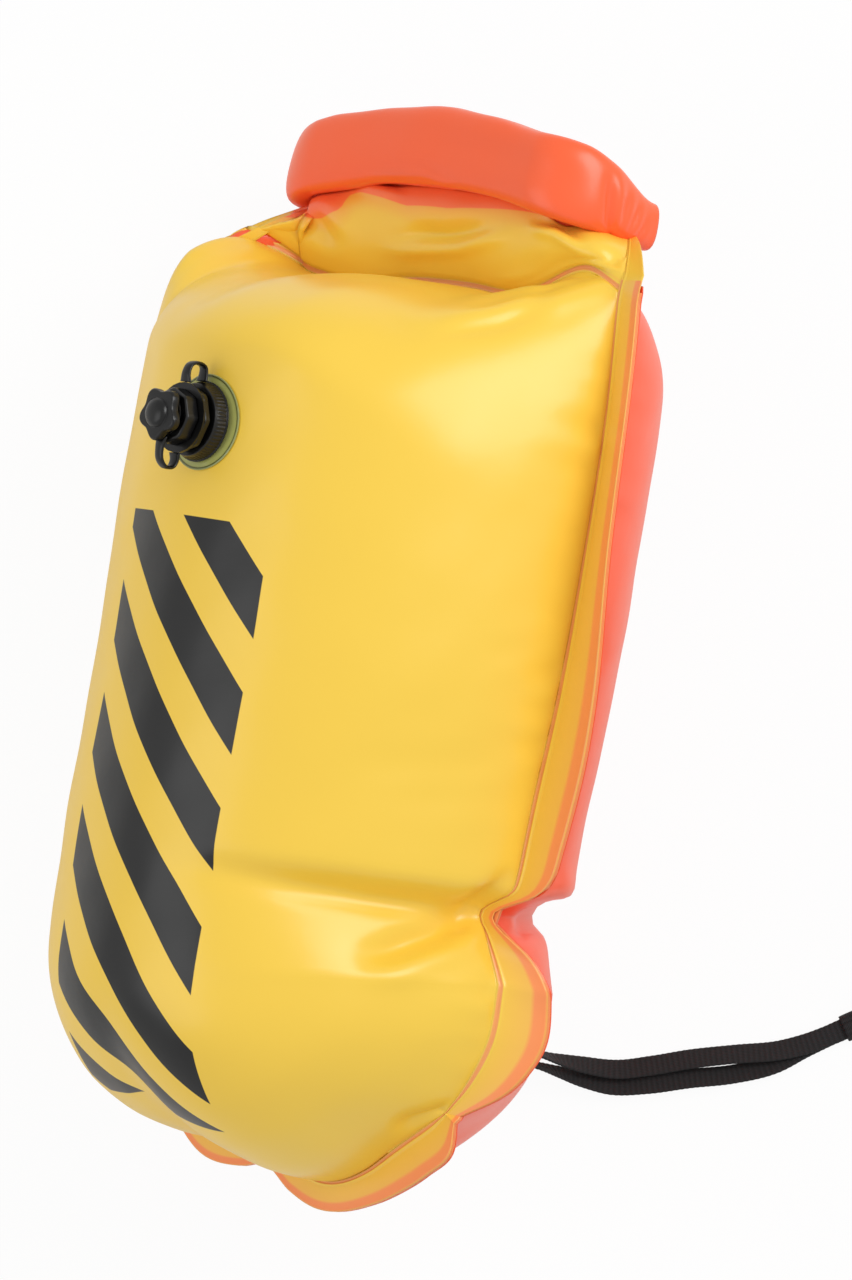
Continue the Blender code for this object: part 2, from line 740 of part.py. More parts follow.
def buckle(prefix, webbing, matrix, finish, parent):
    """A closed side-release buckle: its mouth is at the origin and the male half leaves along +x."""
    half = webbing / 2 + BUCKLE_MARGIN
    thick = BUCKLE_THICK / 2
    far = -(BUCKLE_SOCKET + BUCKLE_SLOT + BUCKLE_BAR)
    female = box(
        prefix + "_female", (far, -half, -thick), (0, half, thick), finish, parent, matrix, edge=BUCKLE_EDGE
    )
    inner = half - BUCKLE_WALL
    cavity = box(
        prefix + "_cavity",
        (-BUCKLE_SOCKET + BUCKLE_WALL, -inner, -thick + BUCKLE_WALL),
        (OVERRUN, inner, thick - BUCKLE_WALL),
        parent=parent, matrix=matrix, place="cutters",
    )
    window = box(
        prefix + "_windows",
        (-BUCKLE_ARM_LENGTH - BUCKLE_WALL, -half - OVERRUN, -thick + BUCKLE_WALL),
        (-BUCKLE_ARM_LENGTH + BUCKLE_WINDOW, half + OVERRUN, thick - BUCKLE_WALL),
        parent=parent, matrix=matrix, place="cutters",
    )
    slot = box(
        prefix + "_female_slot",
        (far + BUCKLE_BAR, -webbing / 2, -thick - OVERRUN),
        (far + BUCKLE_BAR + BUCKLE_SLOT - BUCKLE_WALL / 2, webbing / 2, thick + OVERRUN),
        parent=parent, matrix=matrix, place="cutters",
    )
    for tool in (cavity, window, slot):
        combine(female, tool, "DIFFERENCE")
    reach = inner - CLEAR
    arm_thick = thick - BUCKLE_WALL - CLEAR
    outline = [
        (BUCKLE_BASE, -half), (BUCKLE_BASE, half), (CLEAR, half), (CLEAR, reach),
        (-BUCKLE_ARM_LENGTH / 3, reach - BUCKLE_ARM / 4), (-BUCKLE_ARM_LENGTH * 2 / 3, reach),
        (-BUCKLE_ARM_LENGTH, reach - BUCKLE_ARM / 2), (-BUCKLE_ARM_LENGTH, reach - BUCKLE_ARM),
        (BUCKLE_WALL, reach - BUCKLE_ARM), (BUCKLE_WALL, BUCKLE_TONGUE / 2),
        (-BUCKLE_ARM_LENGTH / 2, BUCKLE_TONGUE / 2 - BUCKLE_WALL / 2),
    ]
    outline += [(x, -y) for x, y in reversed(outline) if y > 0 and (x, y) != (BUCKLE_BASE, half)]
    male = prism(prefix + "_male", outline, arm_thick, finish, parent, matrix)
    hole = box(
        prefix + "_male_slot",
        (BUCKLE_BASE - BUCKLE_BAR - BUCKLE_SLOT, -webbing / 2, -thick - OVERRUN),
        (BUCKLE_BASE - BUCKLE_BAR, webbing / 2, thick + OVERRUN),
        parent=parent, matrix=matrix, place="cutters",
    )
    combine(male, hole, "DIFFERENCE")
    return female, male


def prism(name, outline, half_thick, finish, parent, matrix):
    """A flat outline given half its thickness each way, as a mesh that can be cut."""
    mesh = bpy.data.meshes.new(name)
    made = bmesh.new()
    face = made.faces.new([made.verts.new((x, y, -half_thick)) for x, y in outline])
    face.normal_update()
    if face.normal.z > 0:
        face.normal_flip()
    grown = bmesh.ops.extrude_face_region(made, geom=[face])
    tops = [item for item in grown["geom"] if isinstance(item, bmesh.types.BMVert)]
    bmesh.ops.translate(made, vec=(0, 0, 2 * half_thick), verts=tops)
    bmesh.ops.recalc_face_normals(made, faces=made.faces)
    made.to_mesh(mesh)
    made.free()
    return add_object(name, mesh, finish, parent, matrix)


def knurled(radius):
    """Radius of each step round a rim with fine upright ribs."""
    return [radius + (KNURL if step % 2 else 0) for step in range(KNURL_SEGMENTS)]


def eight_sided(radius):
    """Radius of each step round an octagon's outline, whose flats lie at the given radius."""
    side = 2 * math.pi / PLUG_SIDES
    angles = [2 * math.pi * step / PLUG_SEGMENTS for step in range(PLUG_SEGMENTS)]
    return [radius / math.cos(angle % side - side / 2) for angle in angles]


def lobed(radius):
    """Radius of each step round a star with soft lobes."""
    angles = [2 * math.pi * step / CAP_SEGMENTS for step in range(CAP_SEGMENTS)]
    return [radius + CAP_LOBE * math.cos(CAP_LOBES * angle) for angle in angles]


def valve_heights():
    """Levels of the valve's pieces above the film, each seated on the one below."""
    foot = RING_FOOT + DISC_THICK
    top = foot + RING_HEIGHT
    head = top + 2 * SEAL_WIRE
    groove = head + PLUG_HEAD_HEIGHT
    grip = groove + PLUG_GROOVE_HEIGHT
    grip_top = grip + PLUG_GRIP_HEIGHT
    cap = grip_top + CAP_NECK_HEIGHT + CLEAR
    return {
        "foot": foot, "top": top, "head": head, "groove": groove, "grip": grip, "grip_top": grip_top,
        "cap": cap,
    }


def valve(prefix, side, finishes, parent):
    """One two-stage valve on a chamber: open base, main plug with its one-way flap, and small cap."""
    frame = seat_frame(side, VALVE_SHARE)
    at = valve_heights()
    black, clear_green, soft = finishes
    dished_disc(
        prefix + "_flange", side, frame, NECK_RADIUS + CLEAR, DISC_RADIUS, DISC_THICK, DISC_STAND_OFF,
        clear_green, parent,
    )
    rings = [
        (-NECK_DEPTH, NECK_RADIUS), (at["foot"], NECK_RADIUS), (at["foot"], knurled(RING_RADIUS - KNURL)),
        (at["top"] - KNURL, knurled(RING_RADIUS - KNURL)), (at["top"], RING_RADIUS - 3 * KNURL),
        (at["top"], NECK_BORE), (-NECK_DEPTH + SEAT_THICK, NECK_BORE), (-NECK_DEPTH + SEAT_THICK, SEAT_BORE),
        (-NECK_DEPTH, SEAT_BORE),
    ]
    lofted(prefix + "_base_ring", rings, KNURL_SEGMENTS, black, parent, frame, bored=True)
    seal_matrix = frame @ Matrix.Translation((0, 0, at["top"] + SEAL_WIRE))
    seal_radius = (NECK_BORE + PLUG_HEAD_RADIUS) / 2
    wire = SEAL_WIRE - CLEAR / 2
    seal = []
    for k in range(SEAL_SIDES):
        angle = 2 * math.pi * k / SEAL_SIDES
        seal.append((seal_radius + wire * math.sin(angle), wire * math.cos(angle)))
    turned(prefix + "_seal", seal, PLUG_SEGMENTS, soft, parent, seal_matrix, bored=True)
    stem = NECK_BORE - CLEAR
    floor = at["top"] - PLUG_STEM_DEPTH
    rings = [
        (floor, stem - KNURL), (floor + KNURL, stem), (at["head"], stem),
        (at["head"], eight_sided(PLUG_HEAD_RADIUS)), (at["groove"] - KNURL, eight_sided(PLUG_HEAD_RADIUS)),
        (at["groove"], PLUG_HEAD_RADIUS - KNURL),
        (at["groove"], PLUG_GROOVE_RADIUS), (at["grip"], PLUG_GROOVE_RADIUS),
        (at["grip"], eight_sided(PLUG_GRIP_RADIUS)), (at["grip_top"], eight_sided(PLUG_GRIP_RADIUS - KNURL)),
        (at["grip_top"], PLUG_BORE), (floor + PLUG_FLOOR, PLUG_BORE),
    ]
    plug = lofted(prefix + "_plug", rings, PLUG_SEGMENTS, black, parent, frame, bored=False)
    angles = [2 * math.pi * k / AIR_HOLES for k in range(AIR_HOLES)]
    places = [(AIR_HOLE_CIRCLE * math.cos(a), AIR_HOLE_CIRCLE * math.sin(a)) for a in angles] + [(0, 0)]
    low, high = floor - OVERRUN, floor + OVERRUN
    holes = rods(prefix + "_air_holes", places, AIR_HOLE_RADIUS, low, high, parent, frame)
    combine(plug, holes, "DIFFERENCE")
    flap_top = floor - CLEAR
    button = floor + PLUG_FLOOR + FLAP_TRAVEL + CLEAR
    profile = [
        (0, button + FLAP_THICK), (FLAP_BUTTON_RADIUS, button + FLAP_THICK), (FLAP_BUTTON_RADIUS, button),
        (FLAP_STEM_RADIUS, button), (FLAP_STEM_RADIUS, flap_top), (FLAP_RADIUS, flap_top),
        (FLAP_RADIUS, flap_top - FLAP_THICK), (0, flap_top - FLAP_THICK),
    ]
    turned(prefix + "_flap", profile, PLUG_SEGMENTS // 2, soft, parent, frame)
    cap_top = at["cap"] + CAP_HEIGHT
    stem_end = at["grip_top"] - CAP_STEM_DEPTH
    rings = [
        (stem_end, PLUG_BORE - 2 * CLEAR), (stem_end + KNURL, PLUG_BORE - CLEAR),
        (at["grip_top"] + CLEAR, PLUG_BORE - CLEAR), (at["grip_top"] + CLEAR, CAP_NECK_RADIUS),
        (at["cap"], CAP_NECK_RADIUS), (at["cap"], lobed(CAP_RADIUS)),
        (cap_top - 2 * KNURL, lobed(CAP_RADIUS)), (cap_top, lobed(CAP_RADIUS - 3 * KNURL)),
    ]
    for rise_share, radius_share in CAP_DOME_SHARES:
        rings.append((cap_top + CAP_DOME_HEIGHT * rise_share, CAP_DOME_RADIUS * radius_share))
    lofted(prefix + "_cap", rings, CAP_SEGMENTS, black, parent, frame, bored=False)
    swivels_and_tethers(prefix, at, frame, black, parent)


def swivels_and_tethers(prefix, at, frame, black, parent):
    """The rings that hold in the plug's and the cap's grooves, and the two straps between the pieces."""
    groove_mid = at["groove"] + PLUG_GROOVE_HEIGHT / 2
    cap_mid = at["grip_top"] + CLEAR + CAP_NECK_HEIGHT / 2
    plug_radii = (PLUG_GROOVE_RADIUS + CLEAR, PLUG_HEAD_RADIUS + SWIVEL_WIDTH / 2)
    cap_radii = (CAP_NECK_RADIUS + CLEAR, CAP_NECK_RADIUS + SWIVEL_WIDTH + CLEAR)
    washer(prefix + "_plug_swivel", *plug_radii, groove_mid, frame, black, parent)
    washer(prefix + "_cap_swivel", *cap_radii, cap_mid, frame, black, parent)
    low = at["foot"] + RING_HEIGHT / 2
    plug_edge = PLUG_HEAD_RADIUS + SWIVEL_WIDTH / 2 + CLEAR
    ring_edge = RING_RADIUS + KNURL + CLEAR
    tether(prefix + "_plug_tether", 1, (ring_edge, low), (plug_edge, groove_mid), frame, black, parent)
    cap_edge = CAP_NECK_RADIUS + SWIVEL_WIDTH + 2 * CLEAR
    tether(prefix + "_cap_tether", -1, (plug_edge, groove_mid), (cap_edge, cap_mid), frame, black, parent)


def washer(name, inner, outer, height, frame, finish, parent):
    half = SWIVEL_THICK / 2
    profile = [(inner, half), (outer, half), (outer, -half), (inner, -half)]
    matrix = frame @ Matrix.Translation((0, 0, height))
    return turned(name, profile, PLUG_SEGMENTS, finish, parent, matrix, bored=True)


def tether(name, hand, low, high, frame, finish, parent):
    """A moulded strap that leaves one ring's edge, arches outwards and comes back to the next ring."""
    out = max(low[0], high[0]) + TETHER_REACH
    half = TETHER_THICK / 2
    outline = [
        (low[0] + half, low[1]), (low[0] + half + TETHER_REACH / 3, low[1] - half),
        (out - TETHER_REACH / 5, low[1] + half), (out, (low[1] + high[1]) / 2),
        (out - TETHER_REACH / 5, high[1] - half / 2), (high[0] + half + TETHER_REACH / 4, high[1] + half),
        (high[0] + half, high[1]),
    ]
    points = [frame @ Vector((0, hand * y, z)) for y, z in outline]
    width = (frame.to_3x3() @ Vector((1, 0, 0))).normalized()
    return ribbon(name, points, [width] * len(points), TETHER_WIDTH, TETHER_THICK, finish, parent)


def anchor(finishes, parent):
    """Welded patch low on the back, a lug of webbing through it and the D-ring that the lug holds."""
    orange, webbing, steel = finishes
    frame = seat_frame(-1, ANCHOR_SHARE)
    dished_disc(
        "anchor_patch", -1, frame, PATCH_EYELET, PATCH_RADIUS, PATCH_THICK, PATCH_STAND_OFF, orange, parent
    )
    base = PATCH_STAND_OFF + PATCH_THICK + CLEAR + LUG_THICK / 2
    eye = RING_WIRE + CLEAR + LUG_THICK / 2
    middle = base + eye
    outline = [(-LUG_FOOT, base), (-eye * 1.6, base)]
    for k in range(7):
        angle = math.radians(200 - 220 * k / 6)
        outline.append((eye * math.cos(angle), middle + eye * math.sin(angle)))
    outline += [(eye * 1.6, base), (LUG_FOOT, base)]
    points = [frame @ Vector((0, y, z)) for y, z in outline]
    width = (frame.to_3x3() @ Vector((1, 0, 0))).normalized()
    ribbon("anchor_lug", points, [width] * len(points), LUG_WIDTH, LUG_THICK, webbing, parent)
    ring_points = []
    corners = ((1, RING_DROP, 0), (-1, RING_DROP, 90), (-1, 0, 180), (1, 0, 270))
    for hand, level, first in corners:
        centre_x = hand * (RING_HALF_WIDTH - RING_CORNER)
        centre_z = level - RING_CORNER if level else RING_CORNER
        for k in range(3):
            angle = math.radians(first + 45 * k)
            across, out = RING_CORNER * math.cos(angle), RING_CORNER * math.sin(angle)
            ring_points.append((centre_x + across, centre_z + out))
    curve = bpy.data.curves.new("anchor_ring", "CURVE")
    curve.dimensions = "3D"
    spline = curve.splines.new("POLY")
    spline.points.add(len(ring_points) - 1)
    for point, (x, z) in zip(spline.points, ring_points):
        point.co = (x, 0, z, 1)
    spline.use_cyclic_u = True
    curve.bevel_depth = RING_WIRE
    curve.bevel_resolution = 1
    curve.materials.append(steel)
    ring = bpy.data.objects.new("anchor_ring", curve)
    COLLECTIONS["parts"].objects.link(ring)
    ring.parent = parent
    ring.matrix_local = frame @ Matrix.Translation((0, 0, middle))
    return frame, middle


def eased(points, stations):
    """Evenly spaced points on a smooth curve through the given ones."""
    reach = [0.0]
    for a, b in zip(points, points[1:]):
        reach.append(reach[-1] + (Vector(b) - Vector(a)).length)
    tables = [[(r / reach[-1], point[axis]) for r, point in zip(reach, points)] for axis in range(3)]
    return [Vector([smooth_through(table, k / (stations - 1)) for table in tables]) for k in range(stations)]


def leash_leg(name, hand, route, frame, middle, finish):
    """One leg of the leash: round the D-ring's wire, down to the ground and along it to the keeper."""
    wire = BAG.matrix_basis @ (frame @ Vector((0, 0, middle + RING_DROP)))
    back = (BAG.matrix_basis.to_3x3() @ frame.to_3x3() @ Vector((0, 0, -1))).normalized()
    side = (BAG.matrix_basis.to_3x3() @ frame.to_3x3() @ Vector((0, hand, 0))).normalized()
    round_wire = RING_WIRE + CLEAR + WEB_THICK / 2
    start = []
    for degrees in WRAP_DEGREES:
        angle = math.radians(degrees)
        start.append(wire + (back * math.cos(angle) + side * math.sin(angle)) * round_wire)
    start.append(start[-1] - back * 3 * WEB_THICK)
    heading = math.radians(KEEPER_HEADING_DEG)
    ahead = Vector((math.cos(heading), math.sin(heading), 0))
    ply = keeper_ply(hand)
    keeper = Vector((*KEEPER_PLACE, ply))
    tail = [keeper - ahead * KEEPER_LENGTH * 0.6, keeper, keeper + ahead * (KEEPER_LENGTH / 2 - CLEAR)]
    points = start + eased([start[-1], *[Vector(p) for p in route], tail[0]], LEG_STATIONS)[1:] + tail[1:]
    widths = []
    reach = [0.0]
    for a, b in zip(points, points[1:]):
        reach.append(reach[-1] + (b - a).length)
    for k, point in enumerate(points):
        ahead_here = (points[min(k + 1, len(points) - 1)] - points[max(k - 1, 0)]).normalized()
        if k < len(start):
            widths.append(back.cross(side))
            continue
        level = ahead_here.cross(Vector((0, 0, 1))).normalized()
        upright = level.cross(ahead_here).normalized()
        lean = math.radians(smooth_through(LEASH_LEANS, reach[k] / reach[-1]))
        direction = level * math.sin(lean) + upright * math.cos(lean)
        widths.append(direction if direction.dot(widths[-1]) > 0 else -direction)
    return ribbon(name, points, widths, LEASH_WIDTH, WEB_THICK, finish)


def keeper_ply(hand):
    """Height of the upper and the lower ply's middle inside the keeper."""
    low = CLEAR + KEEPER_WALL + CLEAR + WEB_THICK / 2
    return low + (WEB_THICK + CLEAR if hand > 0 else 0)


def ground_frame(x, y, heading_deg, height=0.0):
    return Matrix.Translation((x, y, height)) @ Matrix.Rotation(math.radians(heading_deg), 4, "Z")


def keeper_and_loop(finish):
    """The stitched sleeve over both plies, and the loop beyond it, through which the belt runs."""
    matrix = ground_frame(*KEEPER_PLACE, KEEPER_HEADING_DEG)
    top = keeper_ply(1) + WEB_THICK / 2 + CLEAR + KEEPER_WALL
    half = LEASH_WIDTH / 2 + CLEAR + KEEPER_WALL
    low, high = (-KEEPER_LENGTH / 2, -half, CLEAR), (KEEPER_LENGTH / 2, half, top)
    sleeve = box("leash_keeper", low, high, finish, matrix=matrix)
    hole = box(
        "keeper_hole",
        (-KEEPER_LENGTH, -half + KEEPER_WALL, CLEAR + KEEPER_WALL),
        (KEEPER_LENGTH, half - KEEPER_WALL, top - KEEPER_WALL),
        matrix=matrix, place="cutters",
    )
    combine(sleeve, hole, "DIFFERENCE")
    start = KEEPER_LENGTH / 2 + CLEAR
    strand = start + END_LOOP_REACH
    half_web = WEB_THICK / 2
    under = BELT_LIFT - CLEAR - half_web
    over = BELT_LIFT + BELT_WIDTH + CLEAR + half_web
    near = strand - half_web * 2 - CLEAR * 2
    far = strand + half_web * 2 + CLEAR * 2
    low_share, high_share, rise_share, first_share = END_LOOP_SHARES
    outline = [
        (start, keeper_ply(-1)), (start + END_LOOP_REACH * low_share, (keeper_ply(-1) + under) / 2),
        (near - WEB_THICK, under), (far - half_web, under), (far + half_web, under + WEB_THICK),
        (far + half_web, over - WEB_THICK), (far - half_web, over), (near, over),
        (near - WEB_THICK, over - WEB_THICK),
        (start + END_LOOP_REACH * high_share, (keeper_ply(1) + over) * rise_share),
        (start + END_LOOP_REACH * first_share, keeper_ply(1) + half_web), (start, keeper_ply(1)),
    ]
    points = [matrix @ Vector((x, 0, z)) for x, z in outline]
    width = matrix.to_3x3() @ Vector((0, 1, 0))
    ribbon("leash_end_loop", points, [width] * len(points), LEASH_WIDTH, WEB_THICK, finish)
    return matrix, strand


def belt_outer_radius(degrees):
    """The outer strand stands out where the straight buckle sits in it."""
    off = abs((degrees - BELT_BUCKLE_DEG + 180) % 360 - 180) / BELT_BUCKLE_SPREAD_DEG
    return BELT_RING_RADIUS + BELT_BUCKLE_RISE * math.exp(-(off**2))


def belt_inner_radius(_degrees):
    return BELT_RING_RADIUS - BELT_RING_GAP


def polar(centre, radius, degrees, height):
    angle = math.radians(degrees)
    return Vector((centre.x + radius * math.cos(angle), centre.y + radius * math.sin(angle), height))


def waist_belt(finishes, loop_matrix, strand):
    """The belt, closed by its buckle: the outer strand, a fold, the inner strand, a fold and back."""
    webbing, black = finishes
    passing = loop_matrix @ Vector((strand, 0, 0))
    ahead = (loop_matrix.to_3x3() @ Vector((1, 0, 0))).normalized()
    centre = passing + ahead * BELT_RING_RADIUS
    height = BELT_LIFT + BELT_WIDTH / 2
    whole = BUCKLE_SOCKET + BUCKLE_SLOT + BUCKLE_BAR + BUCKLE_BASE
    radius = belt_outer_radius(BELT_BUCKLE_DEG)
    buckle_turn = BELT_BUCKLE_DEG
    middle = polar(centre, radius, buckle_turn, height)
    toward = buckle_turn + 90
    shift = whole / 2 - BUCKLE_BASE
    matrix = Matrix.Translation(middle) @ Matrix.Rotation(math.radians(toward), 4, "Z")
    matrix = matrix @ Matrix.Translation((shift, 0, 0)) @ Matrix.Rotation(math.radians(90), 4, "X")
    buckle("belt_buckle", BELT_WIDTH, matrix, black, None)
    half_turn = math.degrees(math.atan2(whole / 2 + CLEAR, radius))
    first = buckle_turn + half_turn
    last = buckle_turn - half_turn + 360
    end_run = whole / 2 + CLEAR
    points = [middle + rotated(toward) * end_run, middle + rotated(toward) * (end_run + 3 * WEB_THICK)]
    start, end = first + BUCKLE_RUN_DEG, last - 360 - BUCKLE_RUN_DEG
    points += strand_points(centre, start, 360 - BELT_MOUTH_DEG / 2, belt_outer_radius, height)
    points += fold_points(centre, 360 - BELT_MOUTH_DEG / 2, -1, height)
    points += strand_points(centre, 360 - BELT_MOUTH_DEG / 2, BELT_MOUTH_DEG / 2, belt_inner_radius, height)
    points += fold_points(centre, BELT_MOUTH_DEG / 2, 1, height)
    points += strand_points(centre, BELT_MOUTH_DEG / 2, end, belt_outer_radius, height)
    points += [middle - rotated(toward) * (end_run + 3 * WEB_THICK), middle - rotated(toward) * end_run]
    print(f"belt: {sum((b - a).length for a, b in zip(points, points[1:])):.3f} m of webbing")
    print(f"belt: strands at least {least_gap(points) - WEB_THICK:.4f} m apart")
    ribbon("waist_belt", points, [(0, 0, 1)] * len(points), BELT_WIDTH, WEB_THICK, webbing)
    slider(centre, BELT_SLIDER_DEG, height, black)


def rotated(degrees):
    angle = math.radians(degrees)
    return Vector((math.cos(angle), math.sin(angle), 0))


def strand_points(centre, start, end, radius, height):
    count = max(2, int(abs(end - start) / 360 * BELT_STEPS_A_TURN))
    turns = [start + (end - start) * k / count for k in range(count + 1)]
    return [polar(centre, radius(turn), turn, height) for turn in turns]


def fold_points(centre, degrees, hand, height):
    """Half a turn between the strands, without its ends: outer to inner for -1, inner to outer for 1."""
    middle = polar(centre, BELT_RING_RADIUS - BELT_RING_GAP / 2, degrees, height)
    out = rotated(degrees)
    along = rotated(degrees + 90 * -hand)
    points = []
    for k in range(1, 5):
        angle = math.pi * k / 5
        start = out if hand < 0 else -out
        points.append(middle + (start * math.cos(angle) + along * math.sin(angle)) * BELT_RING_GAP / 2)
    return points


def least_gap(points):
    """Least distance between the strands' middles, leaving out the folds."""
    plan = np.array([(p.x, p.y) for p in points])
    gaps = np.linalg.norm(plan[:, None] - plan[None], axis=2)
    index = np.arange(len(plan))
    gaps[np.abs(index[:, None] - index[None]) < 8] = 1
    return gaps.min()


def slider(centre, degrees, height, finish):
    """A three-bar slider: two rails along the belt's edges, with the middle bar behind and two in front."""
    matrix = Matrix.Translation(polar(centre, belt_outer_radius(degrees), degrees, height))
    matrix = matrix @ Matrix.Rotation(math.radians(degrees + 90), 4, "Z")
    edge = BELT_WIDTH / 2 + CLEAR
    web = WEB_THICK / 2 + 2 * CLEAR + KNURL
    half = SLIDER_LENGTH / 2
    thick = web + SLIDER_THICK
    bars = [
        ((-half, -thick, edge), (half, thick, edge + SLIDER_RAIL)),
        ((-half, -thick, -edge - SLIDER_RAIL), (half, thick, -edge)),
        ((-half, -thick, -edge - SLIDER_RAIL / 2), (-half + SLIDER_BAR, -web, edge + SLIDER_RAIL / 2)),
        ((half - SLIDER_BAR, -thick, -edge - SLIDER_RAIL / 2), (half, -web, edge + SLIDER_RAIL / 2)),
        ((-SLIDER_BAR / 2, web, -edge - SLIDER_RAIL / 2), (SLIDER_BAR / 2, thick, edge + SLIDER_RAIL / 2)),
    ]
    body = box("belt_slider", *bars[0], finish, matrix=matrix)
    for k, (low, high) in enumerate(bars[1:]):
        combine(body, box(f"slider_bar_{k}", low, high, matrix=matrix, place="cutters"), "UNION")
    return body


def collar_buckle(finish, parent):
    """The closing buckle behind the roll: its length runs across the bag, its width along it."""
    whole = BUCKLE_SOCKET + BUCKLE_SLOT + BUCKLE_BAR + BUCKLE_BASE
    depth = tab_points(1)[-1].z
    mouth = whole / 2 - BUCKLE_BASE
    matrix = Matrix.Translation((mouth, roll_height(), depth))
    return buckle("collar_buckle", TAB_WIDTH, matrix, finish, parent)


for old in list(bpy.data.objects):
    bpy.data.objects.remove(old, do_unlink=True)
COLLECTIONS = {"parts": collection("Swim buoy"), "cutters": collection("Cutters")}
YELLOW = material("yellow PVC film", "F5C542", 0.32)
ORANGE = material("orange PVC film", "FF6A3C", 0.35)
PEACH = material("inner PVC film", "FF9A5C", 0.4, 0.8)
BLACK = material("black moulded plastic", "161616", 0.4)
GREEN = material("clear green PVC", "A9B266", 0.3, 0.7)
RUBBER = material("soft silicone", "2A2A2A", 0.6)
WEBBING = material("black webbing", "151517", 0.8)
STEEL = material("black steel wire", "202124", 0.35)

BAG = bpy.data.objects.new("bag_frame", None)
COLLECTIONS["parts"].objects.link(BAG)
BAG.matrix_basis = Matrix.Translation((0, 0, rest_height())) @ rolled()
bpy.context.view_layer.update()

FRONT = outer_panel("front_panel", 1, YELLOW, BAG)
BACK = outer_panel("back_panel", -1, ORANGE, BAG)
press_flat(BACK)
inner_panel("front_inner_panel", 1, PEACH, BAG)
inner_panel("back_inner_panel", -1, PEACH, BAG)
for panel, valve_side, valve_name in ((FRONT, 1, "front_valve"), (BACK, -1, "back_valve")):
    valve(valve_name, valve_side, (BLACK, GREEN, RUBBER), BAG)
    hole_cutter = rods(
        valve_name + "_hole", [(0, 0)], NECK_RADIUS + CLEAR, -OVERRUN, OVERRUN, BAG,
        seat_frame(valve_side, VALVE_SHARE), segments=24,
    )
    combine(panel, hole_cutter, "DIFFERENCE")
rolled_collar(ORANGE, BAG)
collar_stiffener(BLACK, BAG)
collar_tab("collar_right_tab", 1, WEBBING, BAG)
collar_tab("collar_left_tab", -1, WEBBING, BAG)
collar_buckle(BLACK, BAG)
ANCHOR_FRAME, RING_LEVEL = anchor((ORANGE, WEBBING, STEEL), BAG)
leash_leg("leash_upper_leg", 1, UPPER_LEG_POINTS, ANCHOR_FRAME, RING_LEVEL, WEBBING)
leash_leg("leash_lower_leg", -1, LOWER_LEG_POINTS, ANCHOR_FRAME, RING_LEVEL, WEBBING)
LOOP_MATRIX, STRAND = keeper_and_loop(WEBBING)
waist_belt((WEBBING, BLACK), LOOP_MATRIX, STRAND)
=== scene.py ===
"""Looks of the open water swim buoy: films, roll-top, valves, leash, belt, floor, lamps and camera."""

import json
import math

import bpy
import numpy as np
from mathutils import Matrix, Vector
from mathutils.bvhtree import BVHTree

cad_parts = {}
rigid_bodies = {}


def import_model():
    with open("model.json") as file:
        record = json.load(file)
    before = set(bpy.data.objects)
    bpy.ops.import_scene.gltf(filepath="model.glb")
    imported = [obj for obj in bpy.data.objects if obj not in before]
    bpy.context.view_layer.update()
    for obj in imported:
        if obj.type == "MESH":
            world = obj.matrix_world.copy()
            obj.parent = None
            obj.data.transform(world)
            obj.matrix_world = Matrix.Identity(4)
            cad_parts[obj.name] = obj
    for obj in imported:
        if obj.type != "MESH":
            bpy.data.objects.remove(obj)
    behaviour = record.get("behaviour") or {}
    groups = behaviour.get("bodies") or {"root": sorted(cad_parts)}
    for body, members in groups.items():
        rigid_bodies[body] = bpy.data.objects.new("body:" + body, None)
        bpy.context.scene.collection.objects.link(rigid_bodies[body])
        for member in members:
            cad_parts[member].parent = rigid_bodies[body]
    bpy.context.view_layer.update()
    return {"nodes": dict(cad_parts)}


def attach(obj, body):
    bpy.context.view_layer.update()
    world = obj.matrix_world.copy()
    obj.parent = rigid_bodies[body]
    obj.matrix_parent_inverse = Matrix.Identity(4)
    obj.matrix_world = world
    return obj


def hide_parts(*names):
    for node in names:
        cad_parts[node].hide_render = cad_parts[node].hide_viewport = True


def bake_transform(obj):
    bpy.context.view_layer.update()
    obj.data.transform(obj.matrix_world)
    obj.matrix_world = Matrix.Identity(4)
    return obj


for start_object in list(bpy.data.objects):
    bpy.data.objects.remove(start_object, do_unlink=True)
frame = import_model()

# Camera. The photograph looks straight down on the buoy, from well above it, through a long lens.
# Its place comes first because the creases of the films are given where they show from it.
MIDDLE_HEIGHT = 0.132
CAMERA_REACH = 2.4
CAMERA_MIDDLE = (0.0256, 0.0347)
CAMERA_TURN_DEG = 9.5
LENS_MM = 135
CLIP_END = 20

camera_data = bpy.data.cameras.new("camera")
camera_data.lens = LENS_MM
camera_data.clip_end = CLIP_END
camera = bpy.data.objects.new("camera", camera_data)
camera.location = (*CAMERA_MIDDLE, MIDDLE_HEIGHT + CAMERA_REACH)
camera.rotation_euler = (0, 0, math.radians(CAMERA_TURN_DEG))
bpy.context.scene.collection.objects.link(camera)
bpy.context.scene.camera = camera

